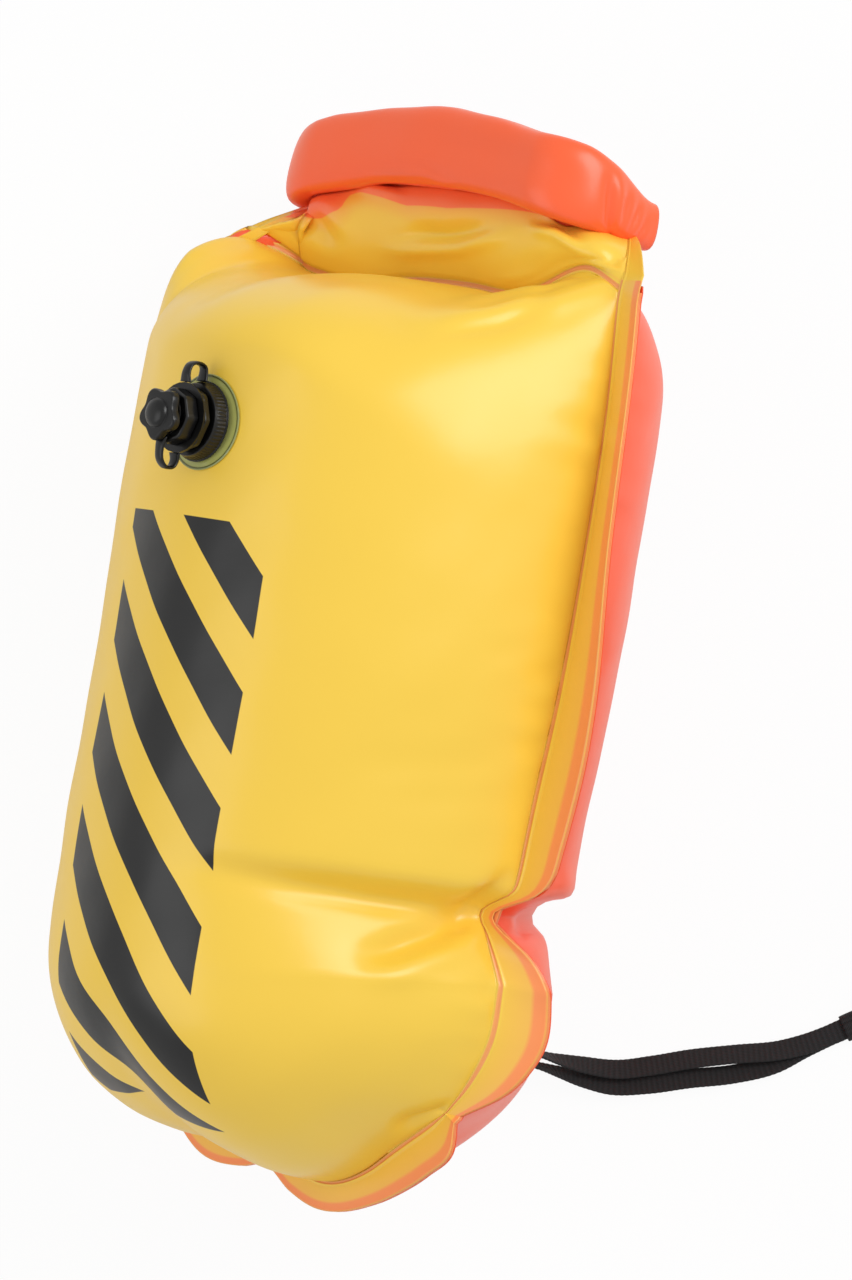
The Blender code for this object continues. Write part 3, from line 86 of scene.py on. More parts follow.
# Front film: yellow PVC about half a millimetre thick, cut flat and welded all round to the films behind it.
# Air domes it, its ends are drawn in to lobes, and its free margins stand out beyond the weld as a flange.
FILM = 0.0005
LAYER = 0.0009
HALF_WIDTH = 0.134
FRONT_DEPTH = 0.134
BACK_DEPTH_UNDER = 0.134
BACK_DEPTH_FREE = 0.104
CHAMBER_LENGTH = 0.445
BOTTOM_BELOW_ORIGIN = 0.235
BOTTOM_ROUNDING = 0.088
TOP_ROUNDING = 0.052
FREE_TOP_ROUNDING = 0.105
FREE_END_POWER = 1.6
FREE_EDGE_POWER = 1.25
FREE_SHARES = (0.56, 0.86)
CORNER_FADE = 0.135
FLANGE_WIDTH = 0.026
LIFT_REACH = 0.1170
ORIGIN_HEIGHT = 0.13078
ROLL_DEG = -45.0
BAG = Matrix.Translation((0, 0, ORIGIN_HEIGHT)) @ Matrix.Rotation(math.radians(ROLL_DEG), 4, "Y")
COLUMNS = 18
OUTER_LAYERS = 1.5
INNER_LAYERS = 0.5
EAR_CUT_SHARE = 0.8
MM = 0.001

RIGHT_WELD_SHARES = [
    (0.101, 0.775), (0.133, 0.845), (0.187, 0.920), (0.248, 0.928), (0.335, 0.935), (0.447, 0.951),
    (0.564, 0.984), (0.724, 1.0), (0.872, 0.993), (1.0, 0.955),
]
NOTCH_SHARES = [(0.25, 0.0), (0.30, -0.10), (0.325, -0.145), (0.352, -0.015), (0.375, 0.0)]
LEFT_WELD_SHARES = [(0.146, -0.91), (0.25, -0.985), (0.5, -1.0), (0.85, -1.0), (0.944, -0.955), (1.0, -0.93)]
LEFT_LIFT_SHARES = [(0.146, 0.10), (0.25, 0.02), (0.35, 0.0), (0.78, 0.0), (0.9, 0.12), (1.0, 0.32)]
RIGHT_LEANS = [
    (0.1, -20), (0.14, -30), (0.187, -42), (0.235, -42), (0.28, -25), (0.322, 5), (0.345, 3), (0.46, 7),
    (0.564, 16), (0.75, 28), (0.9, 25), (1.0, 15),
]
# how wide the right flange stands beyond its weld, up the bag, and the bottom one's width and turn across it
RIGHT_FLANGE_SHARES = [
    (0.10, 0.30), (0.13, 0.75), (0.17, 0.98), (0.24, 0.98), (0.285, 0.8), (0.318, 0.35), (0.335, 0.4),
    (0.37, 0.85), (0.41, 1.0), (0.88, 1.0), (1.0, 0.7),
]
LEFT_FLANGE_SHARES = [(0.86, 1.0), (1.0, 0.3)]
END_FLANGE_MM = [(0.0, 14), (0.6, 14), (0.78, 17), (0.9, 22), (0.96, 20), (1.0, 8)]
END_FLANGE_TURN_DEG = [(0.66, 0), (0.8, 22), (0.92, 50), (1.0, 62)]
LEFT_LEANS = [(0.146, 50), (0.25, 35), (0.5, 30), (0.85, 35), (0.944, 50), (1.0, 50)]
BOTTOM_RISE_SHARES = [
    (0.0, 0.146), (0.127, 0.067), (0.25, 0.018), (0.40, 0.012), (0.48, 0.022), (0.57, 0.002), (0.70, -0.004),
    (0.80, 0.02), (0.87, 0.05), (1.0, 0.101),
]
TOP_RISE_SHARES = [
    (0.0, -0.045), (0.02, 0.0), (0.045, 0.026), (0.08, 0.022), (0.13, 0.006), (0.2, -0.003), (0.3, -0.01),
    (0.45, 0.0), (0.6, 0.0), (0.75, -0.004), (0.92, 0.03), (1.0, 0.012),
]


def through(stations, x):
    """Cubic curve through (place, value) stations, level beyond the first and the last, at places x."""
    places, values = np.array(stations, float).T
    slopes = np.gradient(values, places)
    x = np.clip(x, places[0], places[-1])
    i = np.clip(np.searchsorted(places, x, side="right") - 1, 0, len(places) - 2)
    span = places[i + 1] - places[i]
    t = (x - places[i]) / span
    return (
        (2 * t**3 - 3 * t**2 + 1) * values[i]
        + (t**3 - 2 * t**2 + t) * span * slopes[i]
        + (3 * t**2 - 2 * t**3) * values[i + 1]
        + (t**3 - t**2) * span * slopes[i + 1]
    )


def unit(vectors):
    return vectors / np.maximum(np.linalg.norm(vectors, axis=-1, keepdims=True), 1e-12)


def smooth_step(value):
    value = np.clip(value, 0, 1)
    return value * value * (3 - 2 * value)


def width_share(across):
    """Share of the weld plane's width at a share of the half turn from weld to weld."""
    return (1 - np.cos(np.pi * across)) / 2


def lobes(u, share):
    """How far a point is moved along the bag, as a share, so that the end welds get their lobes."""
    low = np.maximum(0, 1 - share * CHAMBER_LENGTH / CORNER_FADE) * through(BOTTOM_RISE_SHARES, u)
    high = np.maximum(0, 1 - (1 - share) * CHAMBER_LENGTH / CORNER_FADE) * through(TOP_RISE_SHARES, u)
    return low + high


def weld_point(across, share):
    """Points of the sheet that parts the chambers, in the bag's frame."""
    u = width_share(across)
    y_share = share + lobes(u, share)
    left = through(LEFT_WELD_SHARES, share + lobes(np.zeros_like(u), share))
    right = through(RIGHT_WELD_SHARES, share + lobes(np.ones_like(u), share))
    lift = through(LEFT_LIFT_SHARES, y_share) * np.maximum(0, 1 - u / LIFT_REACH)
    notch = through(NOTCH_SHARES, share + lobes(np.ones_like(u), share)) * smooth_step(2 * u - 1)
    x = (left + (right - left) * u + notch) * HALF_WIDTH
    return np.stack([x, y_share * CHAMBER_LENGTH - BOTTOM_BELOW_ORIGIN, lift * HALF_WIDTH], axis=-1)


def weld_normal(across, share):
    """Direction out of the front of the parting sheet."""
    step = 0.5 / COLUMNS
    along = weld_point(np.minimum(across + step, 1), share) - weld_point(np.maximum(across - step, 0), share)
    up = weld_point(across, np.minimum(share + step, 1)) - weld_point(across, np.maximum(share - step, 0))
    return unit(np.cross(along, up))


def fullness(share, free):
    """Depth of a chamber along its length, as a share of its full depth. A free end slopes more."""
    top = TOP_ROUNDING + (FREE_TOP_ROUNDING - TOP_ROUNDING) * free
    up = np.minimum(1, share * CHAMBER_LENGTH / BOTTOM_ROUNDING)
    down = np.minimum(1, (1 - share) * CHAMBER_LENGTH / top)
    slope = 1 + (FREE_END_POWER - 1) * free
    return np.sqrt(1 - (1 - up) ** 2) * np.sqrt(1 - (1 - down) ** 2) ** slope


def film_point(side, across, share):
    """Points of an outer film's middle: side is 1 for the front, -1 for the back."""
    bulge = np.maximum(0, np.sin(np.pi * across))
    if side > 0:
        free = smooth_step((across - FREE_SHARES[0]) / (FREE_SHARES[1] - FREE_SHARES[0]))
        depth = FRONT_DEPTH * fullness(share, free)
        bulge = bulge ** (1 + (FREE_EDGE_POWER - 1) * free)
    else:
        depth = BACK_DEPTH_UNDER + (BACK_DEPTH_FREE - BACK_DEPTH_UNDER) * smooth_step(across)
        depth = depth * fullness(share, 0)
    point = weld_point(across, share) + weld_normal(across, share) * side * OUTER_LAYERS * LAYER
    point[..., 2] += side * depth * bulge
    return point


# Roll-top: the collar's path in plan is a C round the bag's top, from one end of the roll to the other.
ROLL_FRONT_HALF = 0.078
ROLL_BEND = 0.024
ROLL_BACK_RUN = 0.030
ROLL_FRONT_OFFSET = 0.018
ROLL_RISE = 0.052
ROLL_ARCH = 0.014
ROLL_HALF_HEIGHT = 0.021
ROLL_HALF_THICK = 0.011
COLLAR_FILM = 0.0012
ROLL_COLUMN_SHARES = [column / COLUMNS for column in (4, 6, 8, 13, 16, 18)]
WELD_BAND = 0.004
EAR_LIP = 0.014
MARGIN_STAND_OFF = 0.0034
MARGIN_BULGE = 0.006
MARGIN_TUCK = 0.004
MARGIN_NARROWING = 0.85
MARGIN_BEYOND = 0.012
BACK_EAR_SHARE = 0.4
SKIRT_GAP = 0.0016
ROLL_HEIGHT = CHAMBER_LENGTH - BOTTOM_BELOW_ORIGIN + ROLL_RISE
ROLL_BENT = ROLL_FRONT_HALF + ROLL_BEND * math.pi / 2
ROLL_HALF_LENGTH = ROLL_BENT + ROLL_BACK_RUN


def roll_reach(across):
    """Place along the collar's path, from its middle, that a column of the films leads to."""
    places = [-ROLL_HALF_LENGTH, -ROLL_BENT, -ROLL_FRONT_HALF, ROLL_FRONT_HALF, ROLL_BENT, ROLL_HALF_LENGTH]
    return np.interp(across, ROLL_COLUMN_SHARES, places)


def roll_path(reach):
    """The collar's middle line at distances from its middle: points and outward directions."""
    hand = np.where(reach >= 0, 1.0, -1.0)
    reach = np.abs(reach)
    bend = np.clip((reach - ROLL_FRONT_HALF) / ROLL_BEND, 0, math.pi / 2)
    back = np.maximum(0, reach - ROLL_BENT)
    x = np.minimum(reach, ROLL_FRONT_HALF) + ROLL_BEND * np.sin(bend)
    y = ROLL_HEIGHT + ROLL_ARCH * (1 - (x / (ROLL_FRONT_HALF + ROLL_BEND)) ** 2)
    z = ROLL_FRONT_OFFSET - ROLL_BEND * (1 - np.cos(bend)) - back
    points = np.stack([hand * x, y, z], axis=-1)
    return points, np.stack([hand * np.sin(bend), np.zeros_like(x), np.cos(bend)], axis=-1)


def band_point(across):
    """Top edge of the weld's band, which is a free ear at its left."""
    point = weld_point(across, np.ones_like(across))
    point[..., 1] += np.interp(across, [0, ROLL_COLUMN_SHARES[0]], [EAR_LIP, WELD_BAND])
    return point


def skirt_point(across, up):
    """Film between the weld's band and the roll: up is 0 at the band and 1 just below the roll."""
    path, outward = roll_path(roll_reach(across))
    high = path - outward * (ROLL_HALF_THICK - COLLAR_FILM)
    high[..., 1] -= ROLL_HALF_HEIGHT + FILM + SKIRT_GAP
    return band_point(across) * (1 - up)[..., None] + high * up[..., None]


def grid_normals(grid):
    """Unit directions across a grid of points, out of the bag's front."""
    return unit(np.cross(np.gradient(grid, axis=1), np.gradient(grid, axis=0)))


FLANGE_STEPS = np.array([
    0.5, 1.0, 1.5, 2.0, 2.6, 3.2, 3.8, 4.6, 6, 8, 10.5, 13, 15.5, 18, 19, 20.5, 22.5, 24.5, 26,
])
FLANGE_STEPS_SHARE = FLANGE_STEPS / FLANGE_STEPS[-1]
FLANGE = len(FLANGE_STEPS)
CHAMBER_ROWS = 200
BAND_STEPS = (0.12, 0.25, 0.4, 0.6, 0.8, 1.0)
MARGIN_UPS = np.linspace(0, 1, 31)[1:]


def chamber_shares(rows):
    """Shares of the chamber's length, close together where its ends round off."""
    turn = np.radians(np.linspace(0, 90, rows // 4))
    low = BOTTOM_ROUNDING / CHAMBER_LENGTH * (1 - np.cos(turn))
    high = 1 - TOP_ROUNDING / CHAMBER_LENGTH * (1 - np.cos(turn[::-1]))
    middle = np.linspace(low[-1], high[0], rows - 2 * len(turn) + 2)
    return np.concatenate([low, middle[1:-1], high])


def lean_out(points, side, share, reach):
    """Points moved outwards along the flange, which leans out of the weld plane and narrows at its folds."""
    angle = np.radians(through(RIGHT_LEANS if side > 0 else LEFT_LEANS, share))
    way = np.stack([side * np.cos(angle), np.zeros_like(angle), np.sin(angle)], axis=-1)
    narrow = through(RIGHT_FLANGE_SHARES if side > 0 else LEFT_FLANGE_SHARES, share)
    return points[:, None] + (way * narrow[:, None])[:, None] * reach[None, :, None]


def film_grid(side, columns, rows, outer=True):
    """Grid of a film with its flange, and how far each point lies beyond the weld, in metres."""
    across = np.concatenate([
        np.linspace(0, ROLL_COLUMN_SHARES[0], columns // 4 + 1),
        np.linspace(ROLL_COLUMN_SHARES[0], 1, columns - columns // 4)[1:],
    ])
    shares = chamber_shares(rows)
    u, v = np.meshgrid(across, shares)
    if outer:
        inner = film_point(side, u, v)
    else:
        inner = weld_point(u, v) + weld_normal(u, v) * side * INNER_LAYERS * LAYER
    reach = FLANGE_STEPS_SHARE * FLANGE_WIDTH
    # at the left ear the films behind are cut a little shorter than the front one
    left_reach = reach if outer and side > 0 else reach * EAR_CUT_SHARE
    left = lean_out(inner[:, 0], -1, shares + lobes(np.zeros_like(shares), shares), left_reach)
    right = lean_out(inner[:, -1], 1, shares + lobes(np.ones_like(shares), shares), reach)
    grid = np.concatenate([left[:, ::-1], inner, right], axis=1)
    out = np.concatenate([reach[::-1], np.zeros(len(across)), reach])
    # the flange below the bottom weld, with its two corners rounded
    edge_u = width_share(np.pad(across, FLANGE, mode="edge"))
    turn = np.radians(through(END_FLANGE_TURN_DEG, edge_u))
    width = through(END_FLANGE_MM, edge_u) * MM
    down = np.stack([np.sin(turn), -np.cos(turn), np.zeros_like(turn)], axis=-1)
    corner = np.pad(inner[0], ((FLANGE, FLANGE), (0, 0)), mode="edge")
    sideways = grid[0] - corner
    sideways_reach = np.linalg.norm(sideways, axis=1)
    below = []
    for share in FLANGE_STEPS_SHARE[::-1]:
        drop = width * share
        way = unit(sideways + down * drop[:, None])
        below.append(corner + way * np.maximum(sideways_reach, drop)[:, None])
    beyond = np.concatenate([np.maximum(out, reach[::-1, None]), np.tile(out, (rows, 1))])
    return np.concatenate([below, grid]), beyond, across


def margin_top(across, side):
    """Where a film's margin ends below the roll. The front one spreads along the roll's left bend."""
    if side < 0:
        return skirt_point(across, np.ones_like(across))
    stations = [0.0, *ROLL_COLUMN_SHARES[:1], *ROLL_COLUMN_SHARES[2:]]
    left = [-ROLL_BENT * 0.97, -ROLL_BENT * 0.8, -ROLL_FRONT_HALF * 0.88]
    places = [*left, ROLL_FRONT_HALF, ROLL_BENT, ROLL_HALF_LENGTH]
    path, outward = roll_path(np.interp(across, stations, places))
    high = path - outward * (ROLL_HALF_THICK - COLLAR_FILM)
    high[..., 1] -= ROLL_HALF_HEIGHT - MARGIN_TUCK
    return high


def add_top(grid, beyond, across, side):
    """Adds the weld's band and the margin above it, and tells how far up the margin each row lies."""
    top = grid[-1, FLANGE:-FLANGE]
    left_flange = grid[-1, :FLANGE] - top[:1]
    right_flange = grid[-1, -FLANGE:] - top[-1:]
    normal = unit(np.cross(np.gradient(top, axis=0), np.array([0.0, 1.0, 0.0])))
    band = band_point(across)
    high = margin_top(across, side)
    lean = unit(np.cross(np.gradient(band, axis=0), high - band))
    stand = unit(normal + lean) * OUTER_LAYERS * LAYER
    rows, distances, heights = [*grid], [*beyond], [0.0] * len(grid)

    def add_row(line, left, right, lift, up):
        rows.append(np.concatenate([line[:1] + left, line, line[-1:] + right]))
        distances.append(np.concatenate([beyond[-1, :FLANGE], lift, beyond[-1, -FLANGE:]]))
        heights.append(up)

    for step in BAND_STEPS:
        line = top * (1 - step) + (band + stand * side) * step
        ear = 1 if side > 0 else 1 - (1 - BACK_EAR_SHARE) * step
        add_row(line, left_flange * ear, right_flange, np.linalg.norm(line - top, axis=1), 0.0)
    ear = 1 if side > 0 else BACK_EAR_SHARE
    for up in MARGIN_UPS:
        bulge = MARGIN_STAND_OFF + MARGIN_BULGE * math.sin(math.pi * up)
        line = band * (1 - up) + high * up + lean * side * bulge
        narrow = 1 - MARGIN_NARROWING * up
        lift = np.full(len(across), MARGIN_BEYOND)
        add_row(line, left_flange * narrow * ear, right_flange * narrow, lift, up)
    return np.array(rows), np.array(distances), np.array(heights)[:, None]


def on_ground(grid):
    """Points of the bag's frame, in the frame of the ground that it lies on."""
    return grid @ np.array(BAG.to_3x3()).T + np.array(BAG.translation)


def seen_from_camera(grid):
    """Where points show from the camera, as x and y in millimetres on the level of the bag's middle."""
    ground = on_ground(grid)
    middle = np.array(CAMERA_MIDDLE)
    scale = CAMERA_REACH / (CAMERA_REACH + MIDDLE_HEIGHT - ground[..., 2:])
    return (middle + (ground[..., :2] - middle) * scale) * 1000


CREASE_FADE_SHARE = 0.35
LIP_OFFSET = 1.7
RIPPLE_WAVES = 7
BEAD_PLACES = (0.0006, 0.0034)
BEAD_WIDTH = 0.0006
BEAD_HEIGHT = 0.0006


def crease(seen, route, width, depth, lip=0.0, open_start=False):
    """Height of a crease along a route: a groove of that depth, with a lip beside it on the route's left."""
    route = np.array(route, float)
    start, step = route[:-1], np.diff(route, axis=0)
    length = np.linalg.norm(step, axis=1)
    rel = seen[..., None, :] - start
    t = np.clip((rel * step).sum(-1) / length**2, 0, 1)
    off = np.linalg.norm(rel - t[..., None] * step, axis=-1)
    k = np.argmin(off, axis=-1)[..., None]
    side = np.sign(np.take_along_axis(step[:, 0] * rel[..., 1] - step[:, 1] * rel[..., 0], k, -1)[..., 0])
    near = np.take_along_axis(off, k, -1)[..., 0]
    before = np.concatenate([[0], np.cumsum(length)[:-1]])
    along = np.take_along_axis(before + t * length, k, -1)[..., 0] / length.sum()
    fade = smooth_step((1 - along) / CREASE_FADE_SHARE)
    if not open_start:
        fade = fade * smooth_step(along / CREASE_FADE_SHARE)
    signed = near * side
    ridge = lip * np.exp(-(((signed - LIP_OFFSET * width) / width) ** 2))
    return fade * depth * (ridge - np.exp(-((near / width) ** 2)))


def crease_heights(grid, creases):
    """Sum of the creases of a list, at each point of a grid, in metres."""
    seen = seen_from_camera(grid)
    return sum(
        crease(seen, route, width, depth * MM, lip, open_start)
        for route, width, depth, lip, open_start in creases
    )


def ripples(grid, pitch, seed):
    """Small unevenness of a film, as a sum of waves in chance directions, from -1 to 1 or so."""
    chance = np.random.default_rng(seed)
    total = 0
    for _ in range(RIPPLE_WAVES):
        way = unit(chance.normal(size=3))
        wave = pitch * chance.uniform(0.6, 1.6)
        total = total + np.sin(grid @ way * 2 * math.pi / wave + chance.uniform(0, 2 * math.pi))
    return total / 4


def bead(beyond):
    """Height of the weld's two raised lines, at its inner and its outer edge."""
    return BEAD_HEIGHT * sum(np.exp(-(((beyond - place) / BEAD_WIDTH) ** 2)) for place in BEAD_PLACES)


def grid_faces(rows, columns, closed=False):
    """Four-sided faces between the points of a grid, which may close on itself sideways."""
    index = np.arange(rows * columns).reshape(rows, columns)
    beside = np.roll(index, -1, axis=1)
    faces = np.stack([index[:-1], beside[:-1], beside[1:], index[1:]], axis=-1)
    return (faces if closed else faces[:, :-1]).reshape(-1, 4).tolist()


def new_piece(name, points, faces, finish):
    """A smooth mesh in its material."""
    mesh = bpy.data.meshes.new(name)
    mesh.from_pydata(points, [], faces)
    mesh.shade_smooth()
    mesh.materials.append(finish)
    made = bpy.data.objects.new(name, mesh)
    bpy.context.scene.collection.objects.link(made)
    return made


def thicken(made, thickness, attributes=()):
    """Gives a sheet its thickness, and its points the values that its material reads."""
    for label, values in attributes:
        layer = made.data.attributes.new(label, "FLOAT", "POINT")
        layer.data.foreach_set("value", values.ravel().astype(np.float32))
    solid = made.modifiers.new("thickness", "SOLIDIFY")
    solid.thickness = thickness
    solid.offset = 0


def film_sheet(name, grid, finish, thickness, attributes=()):
    """A sheet through a grid of the bag's frame, pressed flat where it would lie under the ground."""
    ground = on_ground(grid.reshape(-1, 3))
    ground[:, 2] = np.maximum(ground[:, 2], thickness / 2)
    made = new_piece(name, ground.tolist(), grid_faces(*grid.shape[:2]), finish)
    thicken(made, thickness, attributes)
    return made


def fit(made, node, body="buoy"):
    """Puts a piece on the body that carries it, in place of its plain solid."""
    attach(made, body)
    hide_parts(node)


def colour(hex_code):
    """An sRGB hex colour as scene-linear red, green, blue and alpha."""
    shares = [int(hex_code[place : place + 2], 16) / 255 for place in (0, 2, 4)]
    return (*(s / 12.92 if s <= 0.04045 else ((s + 0.055) / 1.055) ** 2.4 for s in shares), 1.0)


def set_sockets(tree, node, links):
    """Sets a node's sockets to values, or links them to other nodes' outputs."""
    for socket, value in links.items():
        if isinstance(value, bpy.types.NodeSocket):
            tree.links.new(value, node.inputs[socket])
        else:
            node.inputs[socket].default_value = value


def add_node(tree, kind, settings=None, links=None, stops=()):
    """A node with its settings and its sockets, and a ramp's (place, hex colour) stops."""
    node = tree.nodes.new(kind)
    for name, value in (settings or {}).items():
        setattr(node, name, value)
    set_sockets(tree, node, links or {})
    if stops:
        elements = node.color_ramp.elements
        while len(elements) < len(stops):
            elements.new(0.5)
        for element, (place, hex_code) in zip(elements, stops):
            element.position = place
            element.color = colour(hex_code)
    return node


def new_material(name, looks=None):
    """A material with its shader's values, its node tree and its shader."""
    made = bpy.data.materials.new(name)
    made.use_nodes = True
    shader = made.node_tree.nodes["Principled BSDF"]
    set_sockets(made.node_tree, shader, looks or {})
    return made, made.node_tree, shader


def film_surface(tree, shader):
    """Satin gloss of calendered PVC: a grain of 1 mm and swells of 3 cm that soften the reflections."""
    place = add_node(tree, "ShaderNodeNewGeometry").outputs["Position"]
    fine, slow = (
        add_node(
            tree, "ShaderNodeTexNoise", links={"Vector": place, "Scale": scale, "Detail": detail}
        ).outputs["Fac"]
        for scale, detail in ((900.0, 2.0), (35.0, 3.0))
    )
    rough = add_node(tree, "ShaderNodeMapRange", links={"Value": slow, "To Min": 0.27, "To Max": 0.38})
    swells = add_node(tree, "ShaderNodeBump", links={"Height": slow, "Strength": 0.25, "Distance": 0.0012})
    grain = add_node(
        tree, "ShaderNodeBump",
        links={"Height": fine, "Strength": 0.02, "Distance": 0.0002, "Normal": swells.outputs["Normal"]},
    )
    set_sockets(tree, shader, {
        "Roughness": rough.outputs["Result"], "Normal": grain.outputs["Normal"],
        "IOR": 1.52, "Coat Weight": 0.08, "Coat Roughness": 0.15,
    })


# where the flange's colours change, in metres beyond the weld
FLANGE_RAMP_END = 0.028
# the two lighter yellow lines on the weld's raised beads are painted highlight; the salmon between them is
# the orange seen through the weld, and the orange further out is the flange's own colour
FRONT_FLANGE_AND_BEAD_HIGHLIGHTS = [
    (0.0, "FAD048"), (0.015, "FBD84E"), (0.035, "F9A860"), (0.105, "F8A25C"), (0.125, "FBD44A"),
    (0.16, "FBCA4A"), (0.62, "FAC054"), (0.70, "FF985A"), (0.88, "FF9456"), (0.925, "FDB85A"),
]
# the yellow's cut edge under the roll, where the orange film behind it shows
FRONT_EDGE = [(0.0, "FAD048"), (0.58, "FBB848"), (0.62, "FF7C42"), (1.0, "FF7040")]
BAR_PITCH_MM = 56.0
BARS_HALF_WIDTH_MM = 50.0
BARS_TOP_MM = 74.0
BARS_LENGTH_MM = 300.0
BAR_SOFT_MM = 0.2


def beyond_weld_colours(tree, beyond, stops):
    """Colours of a film by the distance beyond its weld."""
    place = add_node(tree, "ShaderNodeMath", {"operation": "DIVIDE"}, {0: beyond, 1: FLANGE_RAMP_END})
    return add_node(
        tree, "ShaderNodeValToRGB", links={"Fac": place.outputs[0]}, stops=stops
    ).outputs["Color"]


def between(tree, value, low, high):
    """1 where a value lies between two others, with soft edges."""
    edges = []
    for middle, ends in ((low, {}), (high, {"To Min": 1.0, "To Max": 0.0})):
        edge = add_node(
            tree, "ShaderNodeMapRange", {"interpolation_type": "SMOOTHSTEP"},
            {"Value": value, "From Min": middle - BAR_SOFT_MM, "From Max": middle + BAR_SOFT_MM, **ends},
        )
        edges.append(edge.outputs["Result"])
    return add_node(tree, "ShaderNodeMath", {"operation": "MULTIPLY"}, dict(enumerate(edges))).outputs[0]


def yellow_pvc():
    """Yellow PVC film, welded over orange at its flange, with plain diagonal bars in satin black ink."""
    made, tree, shader = new_material("yellow_pvc_film")
    film_surface(tree, shader)
    beyond, over, along, over_orange = (
        add_node(tree, "ShaderNodeAttribute", {"attribute_name": label}).outputs["Fac"]
        for label in ("beyond_weld", "across_mm", "along_mm", "over_orange")
    )
    slant = add_node(tree, "ShaderNodeMath", {"operation": "ADD"}, {0: over, 1: along}).outputs[0]
    turn = add_node(tree, "ShaderNodeMath", {"operation": "FLOORED_MODULO"}, {0: slant, 1: BAR_PITCH_MM})
    inked = between(tree, turn.outputs[0], 0.26 * BAR_PITCH_MM, 0.8 * BAR_PITCH_MM)
    for value, low, high in (
        (over, -BARS_HALF_WIDTH_MM, BARS_HALF_WIDTH_MM), (along, BARS_TOP_MM - BARS_LENGTH_MM, BARS_TOP_MM),
    ):
        limit = between(tree, value, low, high)
        inked = add_node(tree, "ShaderNodeMath", {"operation": "MULTIPLY"}, {0: inked, 1: limit}).outputs[0]
    film = beyond_weld_colours(tree, beyond, FRONT_FLANGE_AND_BEAD_HIGHLIGHTS)
    edge = add_node(tree, "ShaderNodeValToRGB", links={"Fac": over_orange}, stops=FRONT_EDGE)
    above = add_node(tree, "ShaderNodeMath", {"operation": "GREATER_THAN"}, {0: over_orange, 1: 0.005})
    for share, covering in ((inked, colour("060606")), (above.outputs[0], edge.outputs["Color"])):
        mix = add_node(
            tree, "ShaderNodeMix", {"data_type": "RGBA"}, {"Factor": share, "A": film, "B": covering}
        )
        film = mix.outputs["Result"]
    tree.links.new(film, shader.inputs["Base Color"])
    return made


YELLOW_PVC = yellow_pvc()

# creases of the front film, where they show from above: route in mm, width and depth in mm, lip, open start
FRONT_CREASES = [
    ([(87, -80), (70, -97), (52, -110), (33, -121), (10, -130)], 7, 6.0, 0.4, True),
    ([(86, -192), (67, -202), (46, -210)], 5, 4.0, 0.4, True),
    ([(-11, -37), (48, -26), (101, -11)], 9, 0.8, 0.3, False),
    ([(1, -50), (56, -41), (104, -28)], 8, 0.6, 0.3, False),
    ([(53, 32), (92, 43)], 6, 0.5, 0.3, False),
    ([(56, 14), (100, 27)], 6, 0.5, 0.3, False),
    ([(2, 185), (36, 196), (60, 210)], 4, 1.6, 0.8, False),
    ([(14, 200), (42, 214), (68, 226)], 3.5, 1.3, 0.8, False),
    ([(-25, 192), (2, 182)], 4, 0.5, 0.5, False),
    ([(-34, 224), (-18, 225), (10, 231), (29, 240), (38, 246)], 4, -3.2, 0.6, False),
    ([(-24, 236), (0, 236), (24, 246)], 5, 3.0, 0.3, False),
    ([(-84, 225), (-63, 231), (-48, 218)], 6, 3.5, 0.5, False),
    ([(-47, 256), (-34, 253), (-20, 250)], 3.5, -3.0, 0.5, True),
    ([(39, 246), (55, 246), (72, 240)], 3, -2.5, 0.8, False),
    ([(86, 236), (66, 226), (44, 214)], 6, 3.0, 0.6, True),
]
WELD_FADE_SHARE = 0.05
FADE_ROWS = 8
MARGIN_FADE_ROWS = 4
FILM_RIPPLE_PITCH = 0.05
FILM_RIPPLE = 0.0004
PUCKER_PITCHES = (0.017, 0.023, 0.031)
PUCKER_GROUP = 0.13
PUCKER_HEIGHT = 0.00055


def free_share(across, count):
    """0 at the welds and on the flange, 1 in the chamber's middle and in the margin above it."""
    near = np.zeros(len(across) + 2 * FLANGE)
    near[FLANGE:-FLANGE] = smooth_step(np.minimum(across, 1 - across) / WELD_FADE_SHARE)
    rows = np.arange(count)[:, None] - FLANGE
    at_ends = smooth_step(rows / FADE_ROWS) * smooth_step((CHAMBER_ROWS - rows) / FADE_ROWS)
    up_margin = rows - CHAMBER_ROWS - len(BAND_STEPS)
    return np.where(up_margin >= 0, smooth_step(up_margin / MARGIN_FADE_ROWS) * (near > 0), near * at_ends)


def pucker(grid, across, seed):
    """Ripples that run from the side welds a short way into the film."""
    chance = np.random.default_rng(seed)
    y = grid[..., 1]
    wave = 0
    for pitch in PUCKER_PITCHES:
        wave = wave + np.sin(y * 2 * math.pi / pitch + chance.uniform(0, 6.28))
    gate = smooth_step(np.sin(y * 2 * math.pi / PUCKER_GROUP + 1.0) * 0.5 + 0.7)
    near = np.exp(-(((1 - across) / 0.07) ** 2)) + 0.6 * np.exp(-((across / 0.05) ** 2))
    off_weld = smooth_step(np.minimum(across, 1 - across) / 0.03)
    return wave * gate * np.pad(near * off_weld, FLANGE) * PUCKER_HEIGHT


def creased(grid, beyond, across, side, creases, seeds):
    """A film's grid with its unevenness, the weld's raised lines, its creases and its puckers."""
    free = free_share(across, len(grid))
    normals = grid_normals(grid) * side
    height = crease_heights(grid, creases) * free + bead(beyond)
    height = height + ripples(grid, FILM_RIPPLE_PITCH, seeds[0]) * FILM_RIPPLE * free
    height = height + pucker(grid, across, seeds[1])
    return grid + normals * height[..., None]


def run_along(points):
    """Distances along rows of points, from the first of each."""
    steps = np.linalg.norm(np.diff(points, axis=-2), axis=-1)
    return np.concatenate([np.zeros((*steps.shape[:-1], 1)), np.cumsum(steps, axis=-1)], axis=-1)


